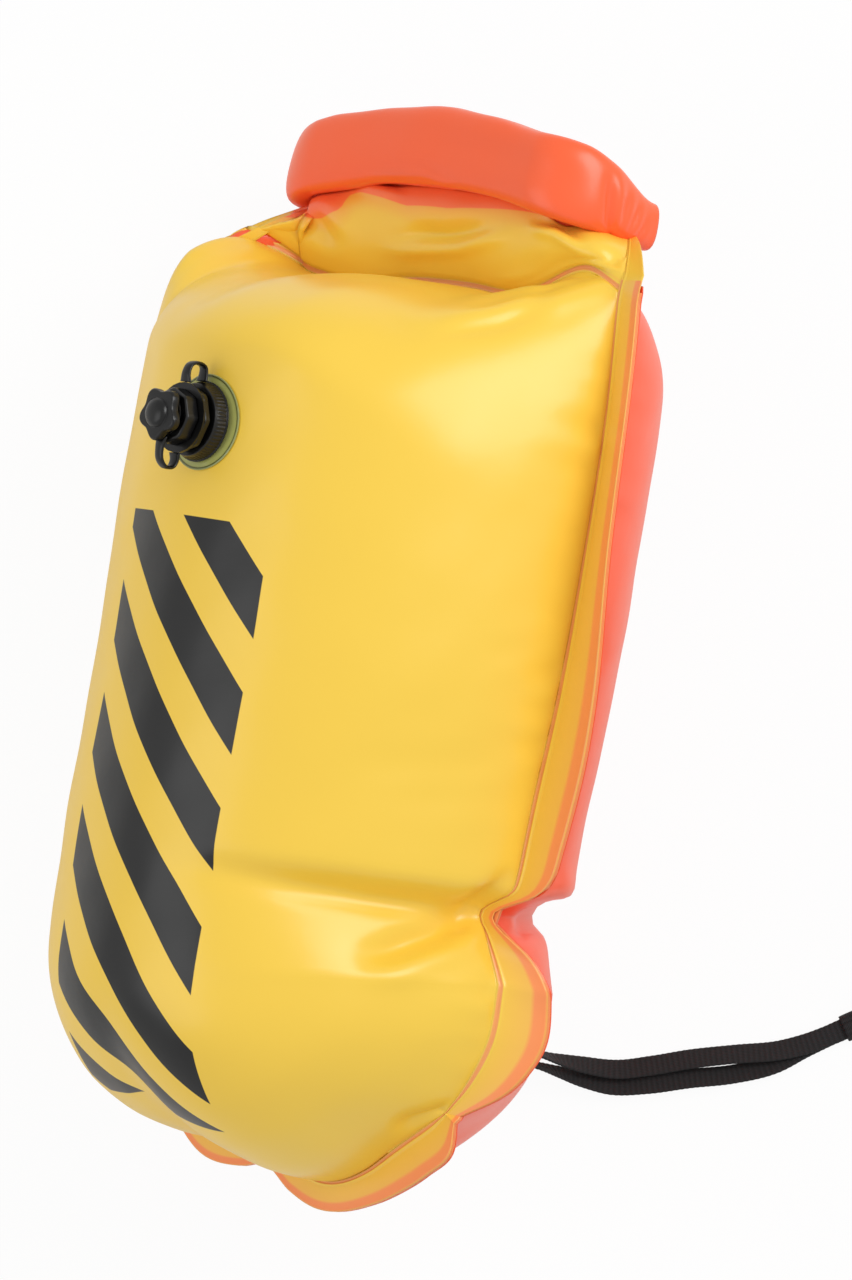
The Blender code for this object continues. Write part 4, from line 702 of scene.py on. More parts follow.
front_grid, front_beyond, front_across = film_grid(1, 128, CHAMBER_ROWS)
front_grid, front_beyond, margin_up = add_top(front_grid, front_beyond, front_across, 1)
centre_column = FLANGE + int(np.argmin(np.abs(front_across - 0.5)))
across_place = run_along(front_grid)
across_mm = (across_place - across_place[:, centre_column : centre_column + 1]) * 1000
along_place = run_along(front_grid[:, centre_column])
zero_row = int(np.argmin(np.abs(front_grid[FLANGE : FLANGE + CHAMBER_ROWS, centre_column, 1]))) + FLANGE
along_mm = np.tile(((along_place - along_place[zero_row]) * 1000)[:, None], (1, front_grid.shape[1]))
# how far up the margin the yellow reaches, by the place in millimetres where the roll's front shows
MARGIN_EDGE = [
    (-82, 0.66), (-66, 0.72), (-57, 0.78), (-51, 0.93), (-45, 0.96), (-24, 0.78), (-1, 0.78), (17, 0.84),
    (34, 0.9), (52, 0.97), (76, 1.2),
]
edge_x, edge_up = np.array(MARGIN_EDGE).T
over_edge = margin_up - np.interp(seen_from_camera(front_grid[-1])[:, 0], edge_x, edge_up)
over_orange = np.where(margin_up > 0, np.clip(0.6 + over_edge / 0.35, 0.02, 1), 0)
front_film = film_sheet(
    "front_film", creased(front_grid, front_beyond, front_across, 1, FRONT_CREASES, (5, 3)), YELLOW_PVC, FILM,
    [
        ("beyond_weld", front_beyond), ("across_mm", across_mm), ("along_mm", along_mm),
        ("over_orange", over_orange),
    ],
)
fit(front_film, "front_panel")

# Back film: the same PVC in signal orange, welded behind the others. It carries the load, so its lowest side
# is pressed flat where the bag rests on the ground, and it keeps no print.
# the two lighter orange lines on the weld's raised beads are painted highlight; the rest is the film's own
# orange
BACK_FLANGE_AND_BEAD_HIGHLIGHTS = [
    (0.0, "FF5E34"), (0.02, "FF7040"), (0.035, "FF5630"), (0.105, "FF5A32"), (0.125, "FF7242"),
    (0.16, "FF6438"),
]
BACK_CREASES = [
    ([(100, -96), (112, -90), (124, -88)], 8, 6.0, 0.5, True),
]


def orange_pvc(name, stops):
    """Orange PVC film: the same calendered skin as the yellow one."""
    made, tree, shader = new_material(name)
    film_surface(tree, shader)
    beyond = add_node(tree, "ShaderNodeAttribute", {"attribute_name": "beyond_weld"}).outputs["Fac"]
    tree.links.new(beyond_weld_colours(tree, beyond, stops), shader.inputs["Base Color"])
    return made


ORANGE_PVC = orange_pvc("orange_pvc_film", BACK_FLANGE_AND_BEAD_HIGHLIGHTS)
back_grid, back_beyond, back_across = film_grid(-1, 96, CHAMBER_ROWS)
back_grid, back_beyond, _ = add_top(back_grid, back_beyond, back_across, -1)
back_film = film_sheet(
    "back_film", creased(back_grid, back_beyond, back_across, -1, BACK_CREASES, (11, 8)), ORANGE_PVC, FILM,
    [("beyond_weld", back_beyond)],
)
fit(back_film, "back_panel")

# Inner films: two sheets of clear peach PVC between the chambers and the dry compartment. Only their edges
# show, between the two colours of the flange.
PEACH_PVC, peach_tree, peach_shader = new_material("peach_pvc_film", {"Base Color": colour("FF9A5C")})
film_surface(peach_tree, peach_shader)
for side, label in ((1, "front_inner"), (-1, "back_inner")):
    inner_grid, _, _ = film_grid(side, 48, 80, outer=False)
    fit(film_sheet(label + "_film", inner_grid, PEACH_PVC, FILM), label + "_panel")

# Roll-top collar: doubled orange film, closed by rolling its mouth over a stiffener two and a quarter turns.
# The roll is a flattened spiral whose two ends are bent back behind the bag.
ROLL_PITCH = 0.0032
ROLL_TURNS = 2.25
SPIRAL_STEPS = 90
SKIRT_ROWS = 10
SQUEEZE_START = ROLL_BENT * 0.86
ROLL_SQUEEZE = 0.38
ROLL_END_DROP = 0.0095
COLLAR_RIPPLE_PITCH = 0.045
COLLAR_RIPPLE = 0.0007
CREASED_SHARE = 0.40
COLLAR_PVC = orange_pvc("orange_collar_film", [(0.0, "FF6636"), (1.0, "FF6636")])
collar_across = np.linspace(ROLL_COLUMN_SHARES[0], 1, 170)
collar_reach = roll_reach(collar_across)
collar_path, collar_out = roll_path(collar_reach)


def spiral(step):
    """Middle line of the roll's section at a step from 0 to 1: outwards and up."""
    turn = step * ROLL_TURNS
    thick = ROLL_HALF_THICK - COLLAR_FILM / 2 - ROLL_PITCH * turn
    tall = ROLL_HALF_HEIGHT - COLLAR_FILM / 2 - ROLL_PITCH * turn
    angle = math.pi - 2 * math.pi * turn
    across_share = math.copysign(abs(math.cos(angle)) ** 0.5, math.cos(angle))
    up_share = math.copysign(abs(math.sin(angle)) ** 0.8, math.sin(angle))
    return thick * across_share, tall * up_share


def squeezed(reach):
    """How far the roll is drawn together and lowered: its ends are pulled in behind the bag."""
    near_end = smooth_step((np.abs(reach) - SQUEEZE_START) / (ROLL_HALF_LENGTH - SQUEEZE_START))
    return near_end * np.where(reach > 0, 1.0, 0.4)


squeeze = squeezed(collar_reach)
sway = 0.0008 * np.sin(collar_reach * 2 * math.pi / 0.097 + 0.6)
sway = sway + 0.0003 * np.sin(collar_reach * 2 * math.pi / 0.041)
oblique = 0.19 * smooth_step((-collar_reach - 0.052) / 0.04)
collar_rows = [
    skirt_point(collar_across, np.full(len(collar_across), up)) for up in np.linspace(0.12, 1, SKIRT_ROWS)
]
for k in range(SPIRAL_STEPS + 1):
    outwards, upwards = spiral(k / SPIRAL_STEPS)
    row = collar_path + collar_out * outwards
    row[:, 1] += upwards * (1 - ROLL_SQUEEZE * squeeze) - ROLL_END_DROP * squeeze
    row[:, 1] += sway * max(0.0, upwards) / ROLL_HALF_HEIGHT
    row[:, 0] += oblique * (upwards + ROLL_HALF_HEIGHT / 2)
    collar_rows.append(row)
collar_grid = np.array(collar_rows)
# creases of the roll's outer turn, given as the front film's are
ROLL_CREASES = [
    ([(77, 284), (80, 268), (84, 241)], 2.8, 2.4, 0.6, False),
    ([(88, 276), (88, 262), (86, 242)], 2.0, 1.3, 0.6, False),
    ([(95, 270), (93, 258), (87, 242)], 1.8, 1.1, 0.6, False),
    ([(101, 262), (97, 253), (89, 242)], 1.6, 0.9, 0.6, False),
    ([(-46, 259), (-14, 265), (6, 259)], 1.6, -1.0, 0.8, False),
    ([(-80, 270), (-40, 283), (30, 279), (70, 268)], 7, 0.9, 0.4, False),
]
collar_height = crease_heights(collar_grid, ROLL_CREASES)
collar_height = collar_height + ripples(collar_grid, COLLAR_RIPPLE_PITCH, 2) * COLLAR_RIPPLE
spiral_share = np.concatenate([np.zeros(SKIRT_ROWS), np.linspace(0, 1, SPIRAL_STEPS + 1)])
outer_turn = smooth_step((CREASED_SHARE - spiral_share) / 0.05)
collar_grid = collar_grid - grid_normals(collar_grid) * (collar_height * outer_turn[:, None])[..., None]
fit(film_sheet("rolled_collar_film", collar_grid, COLLAR_PVC, COLLAR_FILM), "rolled_collar")

# Stiffener: a strip of black polypropylene sheet, sewn into the mouth of the collar. It lies at the roll's
# heart, is bent with it and is drawn in with it at its ends.
STIFFENER_HEIGHT = 0.020
STIFFENER_THICK = 0.0012
STIFFENER_INSET = 0.003


def black_moulding():
    """Polypropylene, moulded or rolled: nearly black, satin, with the faint grain of the tool."""
    made, tree, shader = new_material(
        "black_moulded_plastic", {"Base Color": colour("050505"), "Roughness": 0.3, "IOR": 1.49}
    )
    place = add_node(tree, "ShaderNodeNewGeometry").outputs["Position"]
    grain = add_node(tree, "ShaderNodeTexNoise", links={"Vector": place, "Scale": 1400.0, "Detail": 2.0})
    bump = add_node(
        tree, "ShaderNodeBump", links={"Height": grain.outputs["Fac"], "Strength": 0.08, "Distance": 0.0002}
    )
    tree.links.new(bump.outputs["Normal"], shader.inputs["Normal"])
    return made


BLACK_MOULDING = black_moulding()
stiff_reach = np.linspace(STIFFENER_INSET - ROLL_HALF_LENGTH, ROLL_HALF_LENGTH - STIFFENER_INSET, 80)
stiff_path, _ = roll_path(stiff_reach)
stiff_levels = np.linspace(-0.5, 0.5, 5) * STIFFENER_HEIGHT
stiff_grid = np.array([stiff_path + np.array([0, level, 0]) for level in stiff_levels])
stiff_squeeze = squeezed(stiff_reach)
stiff_grid[..., 1] -= (ROLL_END_DROP + stiff_levels[:, None] * 0.5) * stiff_squeeze
stiffener = film_sheet("roll_stiffener", stiff_grid, BLACK_MOULDING, STIFFENER_THICK)
fit(stiffener, "collar_stiffener")

# Buckles, slider and the valves' swivel rings: injection moulded in black plastic, in the shape of their
# solids. The buckles and the slider hold by the webbing round their bars, the rings turn in their grooves.


def finish_node(node, finish):
    """Gives a solid of the frame its material."""
    node.data.materials.clear()
    node.data.materials.append(finish)


for node in frame["nodes"].values():
    finish_node(node, BLACK_MOULDING)

# Valves: two-stage screw valves of black nylon, each welded to its film by a clear green disc. A knurled
# ring takes the eight-sided main plug, the plug takes the star cap, and two moulded loops keep the pieces
# together.
NECK_RADIUS = 0.0125
DISC_RADIUS = 0.0232
DISC_THICK = 0.0008
DISC_LIFT = 0.0009
DISC_RIM = 0.0004
DISC_SEGMENTS = 72
RAY_START = 0.02
RAY_LENGTH = 0.08
SHARP_DEG = 38
EDGE_ROUNDING = 0.00025
LOOP_HALF_THICK = 0.0009
CLEAR = 0.0003
# on each film: the valve's place, the direction out of it, and the film that carries it
VALVE_PLACES = {
    "front": ((-0.09669, 0.12033, 0.22585), (-0.70711, 0.0, 0.70711), front_film),
    "back": ((0.08448, 0.12033, 0.04471), (0.77756, -0.00107, -0.62880), back_film),
}


def clear_green():
    """Clear PVC with a green tint: pale where the light crosses it, darker along its thick rim."""
    made, tree, shader = new_material(
        "clear_green_pvc", {"Roughness": 0.22, "IOR": 1.53, "Alpha": 0.86, "Coat Weight": 0.3}
    )
    rim = add_node(tree, "ShaderNodeAttribute", {"attribute_name": "rim"}).outputs["Fac"]
    shade = add_node(
        tree, "ShaderNodeValToRGB", links={"Fac": rim},
        stops=[(0.0, "C6C678"), (0.86, "BCBE6A"), (0.93, "4A5024"), (1.0, "B4BA70")],
    )
    tree.links.new(shade.outputs["Color"], shader.inputs["Base Color"])
    return made


GREEN_PVC = clear_green()
# moulded silicone: soft, dark grey and matt
SILICONE, _, _ = new_material(
    "grey_silicone", {"Base Color": colour("2A2A2B"), "Roughness": 0.55, "IOR": 1.41}
)


def facing(place, outward):
    """A frame at a place on the bag with z outwards and y towards the roll-top."""
    z = Vector(outward).normalized()
    y = (Vector((0, 1, 0)) - z * z.y).normalized()
    return Matrix.Translation(place) @ Matrix((y.cross(z), y, z)).transposed().to_4x4()


def ring_faces(rows, around):
    """Faces of a tube through rings of points, with a flat face at each of its ends."""
    last = (rows - 1) * around
    ends = [list(range(around))[::-1], list(range(last, last + around))]
    return grid_faces(rows, around, closed=True) + ends


def lathe(name, matrix, rings, segments, body, node):
    """A moulding over level rings of (height, radius), where a radius may be a function of the angle."""
    angles = np.arange(segments) * 2 * math.pi / segments
    points = []
    for height, radius in rings:
        reach = radius(angles) if callable(radius) else np.full(segments, radius)
        row = np.stack([reach * np.cos(angles), reach * np.sin(angles), np.full(segments, height)], axis=-1)
        points += [tuple(matrix @ Vector(point)) for point in row]
    made = new_piece(name, points, ring_faces(len(rings), segments), BLACK_MOULDING)
    made.data.set_sharp_from_angle(angle=math.radians(SHARP_DEG))
    rounded = made.modifiers.new("rounded_edges", "BEVEL")
    rounded.width = EDGE_ROUNDING
    rounded.segments = 2
    rounded.limit_method = "ANGLE"
    rounded.angle_limit = math.radians(SHARP_DEG)
    fit(made, node, body)


def laid_disc(name, matrix, film, hole, radius, lift, rim_height, finish, node):
    """A disc that lies on a film and follows its creases, thicker along its rim."""
    mesh = film.data
    skin = BVHTree.FromPolygons([v.co for v in mesh.vertices], [tuple(p.vertices) for p in mesh.polygons])
    out = (matrix.to_3x3() @ Vector((0, 0, 1))).normalized()
    shares = np.concatenate([np.linspace(0, 0.9, 10), [0.93, 0.96, 0.985, 1.0]])
    points = []
    for share in shares:
        reach = hole + (radius - hole) * share
        bulge = rim_height * math.exp(-(((share - 0.955) / 0.025) ** 2))
        for angle in np.arange(DISC_SEGMENTS) * 2 * math.pi / DISC_SEGMENTS:
            x, y = reach * math.cos(angle), reach * math.sin(angle)
            hit = skin.ray_cast(matrix @ Vector((x, y, RAY_START)), -out, RAY_LENGTH)[0]
            points.append(tuple((hit or matrix @ Vector((x, y, 0))) + out * (lift + bulge)))
    faces = [[a, d, c, b] for a, b, c, d in grid_faces(len(shares), DISC_SEGMENTS, closed=True)]
    made = new_piece(name, points, faces, finish)
    thicken(made, DISC_THICK, [("rim", np.repeat(shares, DISC_SEGMENTS))])
    fit(made, node)


def ribbed(radius, depth, count):
    """Radius round a rim with fine upright ribs."""
    return lambda angle: radius + depth * np.cos(count * angle)


def sided(radius, sides):
    """Radius round a polygon whose flats lie at the given radius, its corners a little rounded."""
    step = 2 * math.pi / sides
    return lambda angle: np.minimum(radius / np.cos(angle % step - step / 2), radius * 1.06)


def starred(radius, depth, lobes_count):
    """Radius round a star with soft lobes."""
    return lambda angle: radius + depth * np.cos(lobes_count * (angle + 0.35))


def flat_rings(path, sides, ups, wide, tall, powers, first_deg=0):
    """Rings round a path, flat with rounded edges, and how far across each of a ring's points lies."""
    turn = np.radians(np.arange(0, 360, 30) + first_deg)
    flat = np.sign(np.cos(turn)) * np.abs(np.cos(turn)) ** powers[0]
    high = np.sign(np.sin(turn)) * np.abs(np.sin(turn)) ** powers[1]
    rings = (
        path[:, None] + sides[:, None] * (wide[:, None] * flat)[..., None]
        + ups[:, None] * (tall[:, None] * high)[..., None]
    )
    return rings, flat


def resampled(points, count):
    """A smooth route through points, evenly spaced, with the places of its points and of the given ones."""
    reach = run_along(points)
    places = np.linspace(0, reach[-1], count(reach[-1]))
    line = np.stack([through(list(zip(reach, column)), places) for column in points.T], axis=-1)
    return line, places, reach


def moulded_loop(name, matrix, outline, hand, body, node):
    """A thick strap with rounded edges that arches from one ring out to the next."""
    points = np.array([matrix @ Vector((0, hand * y, z)) for y, z in outline])
    path, _, _ = resampled(points, lambda length: 40)
    sides = np.tile(np.array((matrix.to_3x3() @ Vector((1, 0, 0))).normalized()), (len(path), 1))
    ups = np.cross(unit(np.gradient(path, axis=0)), sides)
    wide = 0.0026 + 0.0012 * np.abs(np.linspace(-1, 1, len(path))) ** 3
    rings, _ = flat_rings(path, sides, ups, wide, np.full(len(path), LOOP_HALF_THICK), (0.6, 0.8))
    made = new_piece(name, rings.reshape(-1, 3).tolist(), ring_faces(*rings.shape[:2]), BLACK_MOULDING)
    fit(made, node, body)


for side_name, (place, outward, film) in VALVE_PLACES.items():
    seat = facing(place, outward)
    node = side_name + "_valve"
    laid_disc(
        node + "_disc", seat, film, NECK_RADIUS + CLEAR, DISC_RADIUS, DISC_LIFT, DISC_RIM,
        GREEN_PVC, node + "_flange",
    )
    base = [
        (-0.010, 0.0125), (0.0021, 0.0125), (0.0022, 0.0196), (0.0030, 0.0197), (0.0031, 0.0190),
        (0.0036, ribbed(0.0190, 0.00025, 60)), (0.0070, ribbed(0.0181, 0.00025, 60)), (0.0075, 0.0180),
        (0.0092, 0.0176), (0.0094, 0.0170), (0.0094, 0.0103), (-0.0085, 0.0103), (-0.0085, 0.0075),
        (-0.010, 0.0075),
    ]
    lathe(side_name + "_knurled_ring", seat, base, 240, "buoy", node + "_base_ring")
    plug = [
        (0.0034, 0.0096), (0.0040, 0.0100), (0.0110, 0.0100), (0.0110, sided(0.0150, 8)),
        (0.0116, sided(0.0157, 8)), (0.0143, sided(0.0157, 8)), (0.0149, sided(0.0150, 8)), (0.0150, 0.0112),
        (0.0166, 0.0112), (0.0167, sided(0.0130, 8)), (0.0228, sided(0.0127, 8)), (0.0235, sided(0.0120, 8)),
        (0.0236, 0.0058), (0.0052, 0.0056),
    ]
    lathe(side_name + "_main_plug", seat, plug, 96, side_name + "_plug", node + "_plug")
    cap = [
        (0.0188, 0.0048), (0.0192, 0.0052), (0.0240, 0.0052), (0.0240, 0.0066), (0.0261, 0.0066),
        (0.0262, starred(0.0112, 0.0013, 5)), (0.0268, starred(0.0118, 0.0014, 5)),
        (0.0300, starred(0.0118, 0.0014, 5)), (0.0309, starred(0.0112, 0.0012, 5)), (0.0311, 0.0072),
        (0.0322, 0.0069), (0.0333, 0.0058), (0.0340, 0.0040), (0.0343, 0.0018),
    ]
    lathe(side_name + "_star_cap", seat, cap, 100, side_name + "_cap", node + "_cap")
    for label in ("_seal", "_flap"):
        finish_node(frame["nodes"][node + label], SILICONE)
    low_loop = [
        (0.0190, 0.0060), (0.0222, 0.0056), (0.0258, 0.0064), (0.0272, 0.0110), (0.0256, 0.0152),
        (0.0216, 0.0166), (0.0172, 0.0160),
    ]
    moulded_loop(side_name + "_plug_loop", seat, low_loop, 1, "buoy", node + "_plug_tether")
    high_loop = [
        (0.0172, 0.0156), (0.0206, 0.0150), (0.0240, 0.0164), (0.0246, 0.0205), (0.0218, 0.0242),
        (0.0160, 0.0256), (0.0106, 0.0252),
    ]
    moulded_loop(
        side_name + "_cap_loop", seat, high_loop, -1, side_name + "_plug_swivel", node + "_cap_tether"
    )

# Webbing: the leash's two legs, its keeper and end loop, the collar's tabs and the waist belt are all ribbed
# polyester strap, woven flat with a rib right across it every few millimetres.
WEB_THICK = 0.0016
LEASH_WIDTH = 0.011
RIB_PITCH = 0.00285
RIB_WIDENING = 0.012
RIB_SWELLING = 0.14
# yarns about 0.9 mm apart, coarser than real ones so that they show
YARN_RATE = 7.0


def black_webbing():
    """Woven polyester: matt black yarns along the strap, seen as fine lines over its ribs, with painted shade
    in the hollows between the ribs and painted light on their crests.
    """
    made, tree, shader = new_material("black_ribbed_webbing", {"Roughness": 0.75, "Sheen Weight": 0.05})
    uv = add_node(tree, "ShaderNodeUVMap", {"uv_map": "strap_mm"}).outputs["UV"]
    split = add_node(tree, "ShaderNodeSeparateXYZ", links={"Vector": uv})
    waves = []
    for axis, rate in (("X", YARN_RATE), ("Y", 2 * math.pi / (RIB_PITCH * 1000))):
        turn = add_node(tree, "ShaderNodeMath", {"operation": "MULTIPLY"}, {0: split.outputs[axis], 1: rate})
        wave = add_node(tree, "ShaderNodeMath", {"operation": "SINE"}, {0: turn.outputs[0]})
        waves.append(wave.outputs[0])
    yarn, rib = waves
    bump = add_node(tree, "ShaderNodeBump", links={"Height": yarn, "Strength": 0.5, "Distance": 0.00012})
    lift = add_node(tree, "ShaderNodeMapRange", links={"Value": rib, "From Min": -1.0, "From Max": 1.0})
    # painted shade and light: the black is darkest in the hollows between the ribs and lightest on their
    # crests
    shade = add_node(
        tree, "ShaderNodeValToRGB", links={"Fac": lift.outputs["Result"]},
        stops=[(0.0, "050506"), (0.6, "0D0D0F"), (1.0, "151518")],
    )
    set_sockets(tree, shader, {"Normal": bump.outputs["Normal"], "Base Color": shade.outputs["Color"]})
    return made


WEBBING = black_webbing()


def strap(name, node, points, widths, width=LEASH_WIDTH, thickness=WEB_THICK, body="buoy"):
    """A ribbed strap along points: a flat rounded section that swells and narrows at every rib."""
    points = np.array(points, float)
    widths = np.broadcast_to(np.array(widths, float), points.shape)
    line, places, reach = resampled(points, lambda length: max(3, int(length / (RIB_PITCH / 5))))
    ahead = unit(np.gradient(line, axis=0))
    sides = unit(np.stack([np.interp(places, reach, column) for column in widths.T], axis=-1))
    sides = unit(sides - ahead * (sides * ahead).sum(-1, keepdims=True))
    rib = np.sin(places * 2 * math.pi / RIB_PITCH)
    rings, flat = flat_rings(
        line, sides, np.cross(ahead, sides), width / 2 * (1 + RIB_WIDENING * rib),
        thickness / 2 * (1 - RIB_SWELLING + RIB_SWELLING * rib), (0.3, 0.6), 15,
    )
    count, around = rings.shape[:2]
    made = new_piece(name, rings.reshape(-1, 3).tolist(), ring_faces(count, around), WEBBING)
    mesh = made.data
    layer = mesh.uv_layers.new(name="strap_mm")
    corner = np.zeros(len(mesh.loops), int)
    mesh.loops.foreach_get("vertex_index", corner)
    u = np.tile(flat * width / 2 * 1000, count)[corner]
    v = np.repeat(places * 1000, around)[corner]
    layer.data.foreach_set("uv", np.stack([u, v], axis=-1).ravel().astype(np.float32))
    if body:
        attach(made, body)
    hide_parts(node)
    return made, line


# Leash: one strap of black webbing folded round the D-ring. Its two legs come down to the ground and run
# along it, side by side, to the keeper.
RING_WIRE = 0.0015
RING_DROP = 0.019
UPPER_LEG_POINTS = [
    (0.1150, -0.1690, 0.0260), (0.1300, -0.1710, 0.0135), (0.1450, -0.1720, 0.0080),
    (0.1620, -0.1715, 0.0062), (0.1800, -0.1665, 0.0056), (0.1990, -0.1600, 0.0054),
    (0.2220, -0.1535, 0.0054), (0.2450, -0.1475, 0.0056), (0.2580, -0.1420, 0.0052),
]
LOWER_LEG_POINTS = [
    (0.1150, -0.1750, 0.0250), (0.1310, -0.1775, 0.0120), (0.1450, -0.1795, 0.0070),
    (0.1600, -0.1805, 0.0056), (0.1800, -0.1765, 0.0052), (0.1999, -0.1703, 0.0050),
    (0.2230, -0.1640, 0.0046), (0.2430, -0.1555, 0.0040), (0.2580, -0.1440, 0.0030),
]
LEASH_LEANS = [(0.0, 0), (0.12, 8), (0.30, 55), (0.42, 62), (0.75, 62), (0.92, 88), (1.0, 90)]
KEEPER_PLACE = (0.2840, -0.1263)
KEEPER_HEADING_DEG = 33.0
KEEPER_LENGTH = 0.018
KEEPER_WALL = 0.0009
ANCHOR_ORIGIN = Vector((0.08226, -0.16486, 0.04611))
ANCHOR_ACROSS = Vector((-0.65118, -0.09151, -0.75339))
ANCHOR_OUT = Vector((0.74477, -0.26788, -0.61119))
ANCHOR_UP = ANCHOR_OUT.cross(ANCHOR_ACROSS)
RING_MIDDLE = Vector((0.08591, -0.16617, 0.04312))


def keeper_ply(hand):
    """Height of the upper and the lower ply's middle inside the keeper."""
    low = CLEAR + KEEPER_WALL + CLEAR + WEB_THICK / 2
    return low + (WEB_THICK + CLEAR if hand > 0 else 0)


def leash_leg(node, hand, route):
    """One leg: round the D-ring's wire, down to the ground and along it to the keeper."""
    wire = RING_MIDDLE + ANCHOR_OUT * RING_DROP
    back, side = -ANCHOR_OUT, ANCHOR_UP * hand
    round_wire = RING_WIRE + CLEAR + WEB_THICK / 2
    turns = [math.radians(degrees) for degrees in (9, 35, 62, 90)]
    points = [wire + (back * math.cos(turn) + side * math.sin(turn)) * round_wire for turn in turns]
    points.append(points[-1] - back * 3 * WEB_THICK)
    start = len(points)
    heading = math.radians(KEEPER_HEADING_DEG)
    ahead = Vector((math.cos(heading), math.sin(heading), 0))
    keeper = Vector((*KEEPER_PLACE, keeper_ply(hand)))
    points += [Vector(p) for p in route]
    points += [keeper - ahead * KEEPER_LENGTH * 0.6, keeper, keeper + ahead * (KEEPER_LENGTH / 2 - CLEAR)]
    reach = [0.0]
    for a, b in zip(points, points[1:]):
        reach.append(reach[-1] + (b - a).length)
    widths = []
    for k, point in enumerate(points):
        way = (points[min(k + 1, len(points) - 1)] - points[max(k - 1, 0)]).normalized()
        if k < start:
            widths.append(back.cross(side))
            continue
        level = way.cross(Vector((0, 0, 1))).normalized()
        upright = level.cross(way).normalized()
        lean = math.radians(float(through(LEASH_LEANS, np.array(reach[k] / reach[-1]))))
        direction = level * math.sin(lean) + upright * math.cos(lean)
        widths.append(direction if direction.dot(widths[-1]) > 0 else -direction)
    made, line = strap(node + "_strap", node, points, widths)


leash_leg("leash_upper_leg", 1, UPPER_LEG_POINTS)
leash_leg("leash_lower_leg", -1, LOWER_LEG_POINTS)

# Keeper: a short sleeve of thin black webbing that gathers the leash's two legs. It is wound round both,
# lapped over itself on top and stitched.
KEEPER = Matrix.Translation((*KEEPER_PLACE, 0)) @ Matrix.Rotation(math.radians(KEEPER_HEADING_DEG), 4, "Z")
keeper_half = LEASH_WIDTH / 2 + CLEAR + KEEPER_WALL / 2
keeper_low = CLEAR + KEEPER_WALL / 2
keeper_high = keeper_ply(1) + WEB_THICK / 2 + CLEAR + KEEPER_WALL / 2
KEEPER_CORNER = 0.0006
keeper_section = [(0, keeper_high)]
for hand, level, turned_in in (
    (1, keeper_high, -1), (1, keeper_low, 1), (-1, keeper_low, 1), (-1, keeper_high, -1),
):
    inward = (hand * (keeper_half - KEEPER_CORNER), level)
    upright = (hand * keeper_half, level + turned_in * KEEPER_CORNER)
    keeper_section += [inward, upright] if hand * turned_in < 0 else [upright, inward]
keeper_section.append((0.003, keeper_high + KEEPER_WALL))
keeper_way = KEEPER.to_3x3() @ Vector((1, 0, 0))
strap(
    "stitched_keeper", "leash_keeper", [KEEPER @ Vector((0, y, z)) for y, z in keeper_section], keeper_way,
    KEEPER_LENGTH, KEEPER_WALL,
)

# End loop: the leash's own strap, which goes on beyond the keeper. It passes round the belt's near strand
# and comes back into the keeper, so that the belt can slide in it.
END_LOOP_REACH = 0.026
BELT_WIDTH = 0.020
BELT_LIFT = 0.0028
loop_start = KEEPER_LENGTH / 2 + CLEAR
strand = loop_start + END_LOOP_REACH
under = BELT_LIFT - CLEAR - WEB_THICK / 2
over = BELT_LIFT + BELT_WIDTH + CLEAR + WEB_THICK / 2
near, far = strand - WEB_THICK - 2 * CLEAR, strand + WEB_THICK + 2 * CLEAR
loop_outline = [
    (loop_start, keeper_ply(-1)), (loop_start + END_LOOP_REACH * 0.35, (keeper_ply(-1) + under) / 2),
    (near - WEB_THICK, under), (far - WEB_THICK / 2, under), (far + WEB_THICK / 2, under + WEB_THICK),
    (far + WEB_THICK / 2, over - WEB_THICK), (far - WEB_THICK / 2, over), (near, over),
    (near - WEB_THICK, over - WEB_THICK),
    (loop_start + END_LOOP_REACH * 0.45, (keeper_ply(1) + over) * 0.385),
    (loop_start + END_LOOP_REACH * 0.15, keeper_ply(1) + WEB_THICK / 2), (loop_start, keeper_ply(1)),
]
loop_side = KEEPER.to_3x3() @ Vector((0, 1, 0))
strap("belt_loop", "leash_end_loop", [KEEPER @ Vector((x, 0, z)) for x, z in loop_outline], loop_side)

# Waist belt: 20 mm webbing, buckled and put away as a closed loop drawn flat and bent into a ring. Its two
# ends go round the buckle's bars and are stitched back on themselves.
BELT_RADIUS = 0.100
BELT_GAP = 0.010
BELT_MOUTH_DEG = 28.0
BUCKLE_DEG = 95.0
BUCKLE_HALF = 0.025
BELT_END_DEG = 139.0
BELT_BEND = 0.010
BUCKLE_CLEAR_DEG = 33
BAR_HALF = 0.0045
BELT_TAIL = 0.013
UP = Vector((0, 0, 1))
belt_centre = KEEPER @ Vector((strand + BELT_RADIUS, 0, BELT_LIFT + BELT_WIDTH / 2))


def belt_place(radius, degrees):
    angle = math.radians(degrees)
    return belt_centre + Vector((radius * math.cos(angle), radius * math.sin(angle), 0))


def outer_strand(degrees):
    """The outer strand stands out where the straight buckle sits in it."""
    off = abs((degrees - BUCKLE_DEG + 180) % 360 - 180) / 30
    return belt_place(BELT_RADIUS + BELT_BEND * math.exp(-(off**2)), degrees)


def belt_fold(degrees, hand):
    """Half a turn between the strands: outer to inner for -1, inner to outer for 1."""
    middle = belt_place(BELT_RADIUS - BELT_GAP / 2, degrees)
    out = (belt_place(1.0, degrees) - belt_centre).normalized()
    along = UP.cross(out) * -hand
    turns = [math.pi * k / 5 for k in range(1, 5)]
    return [middle + (out * -hand * math.cos(a) + along * math.sin(a)) * BELT_GAP / 2 for a in turns]


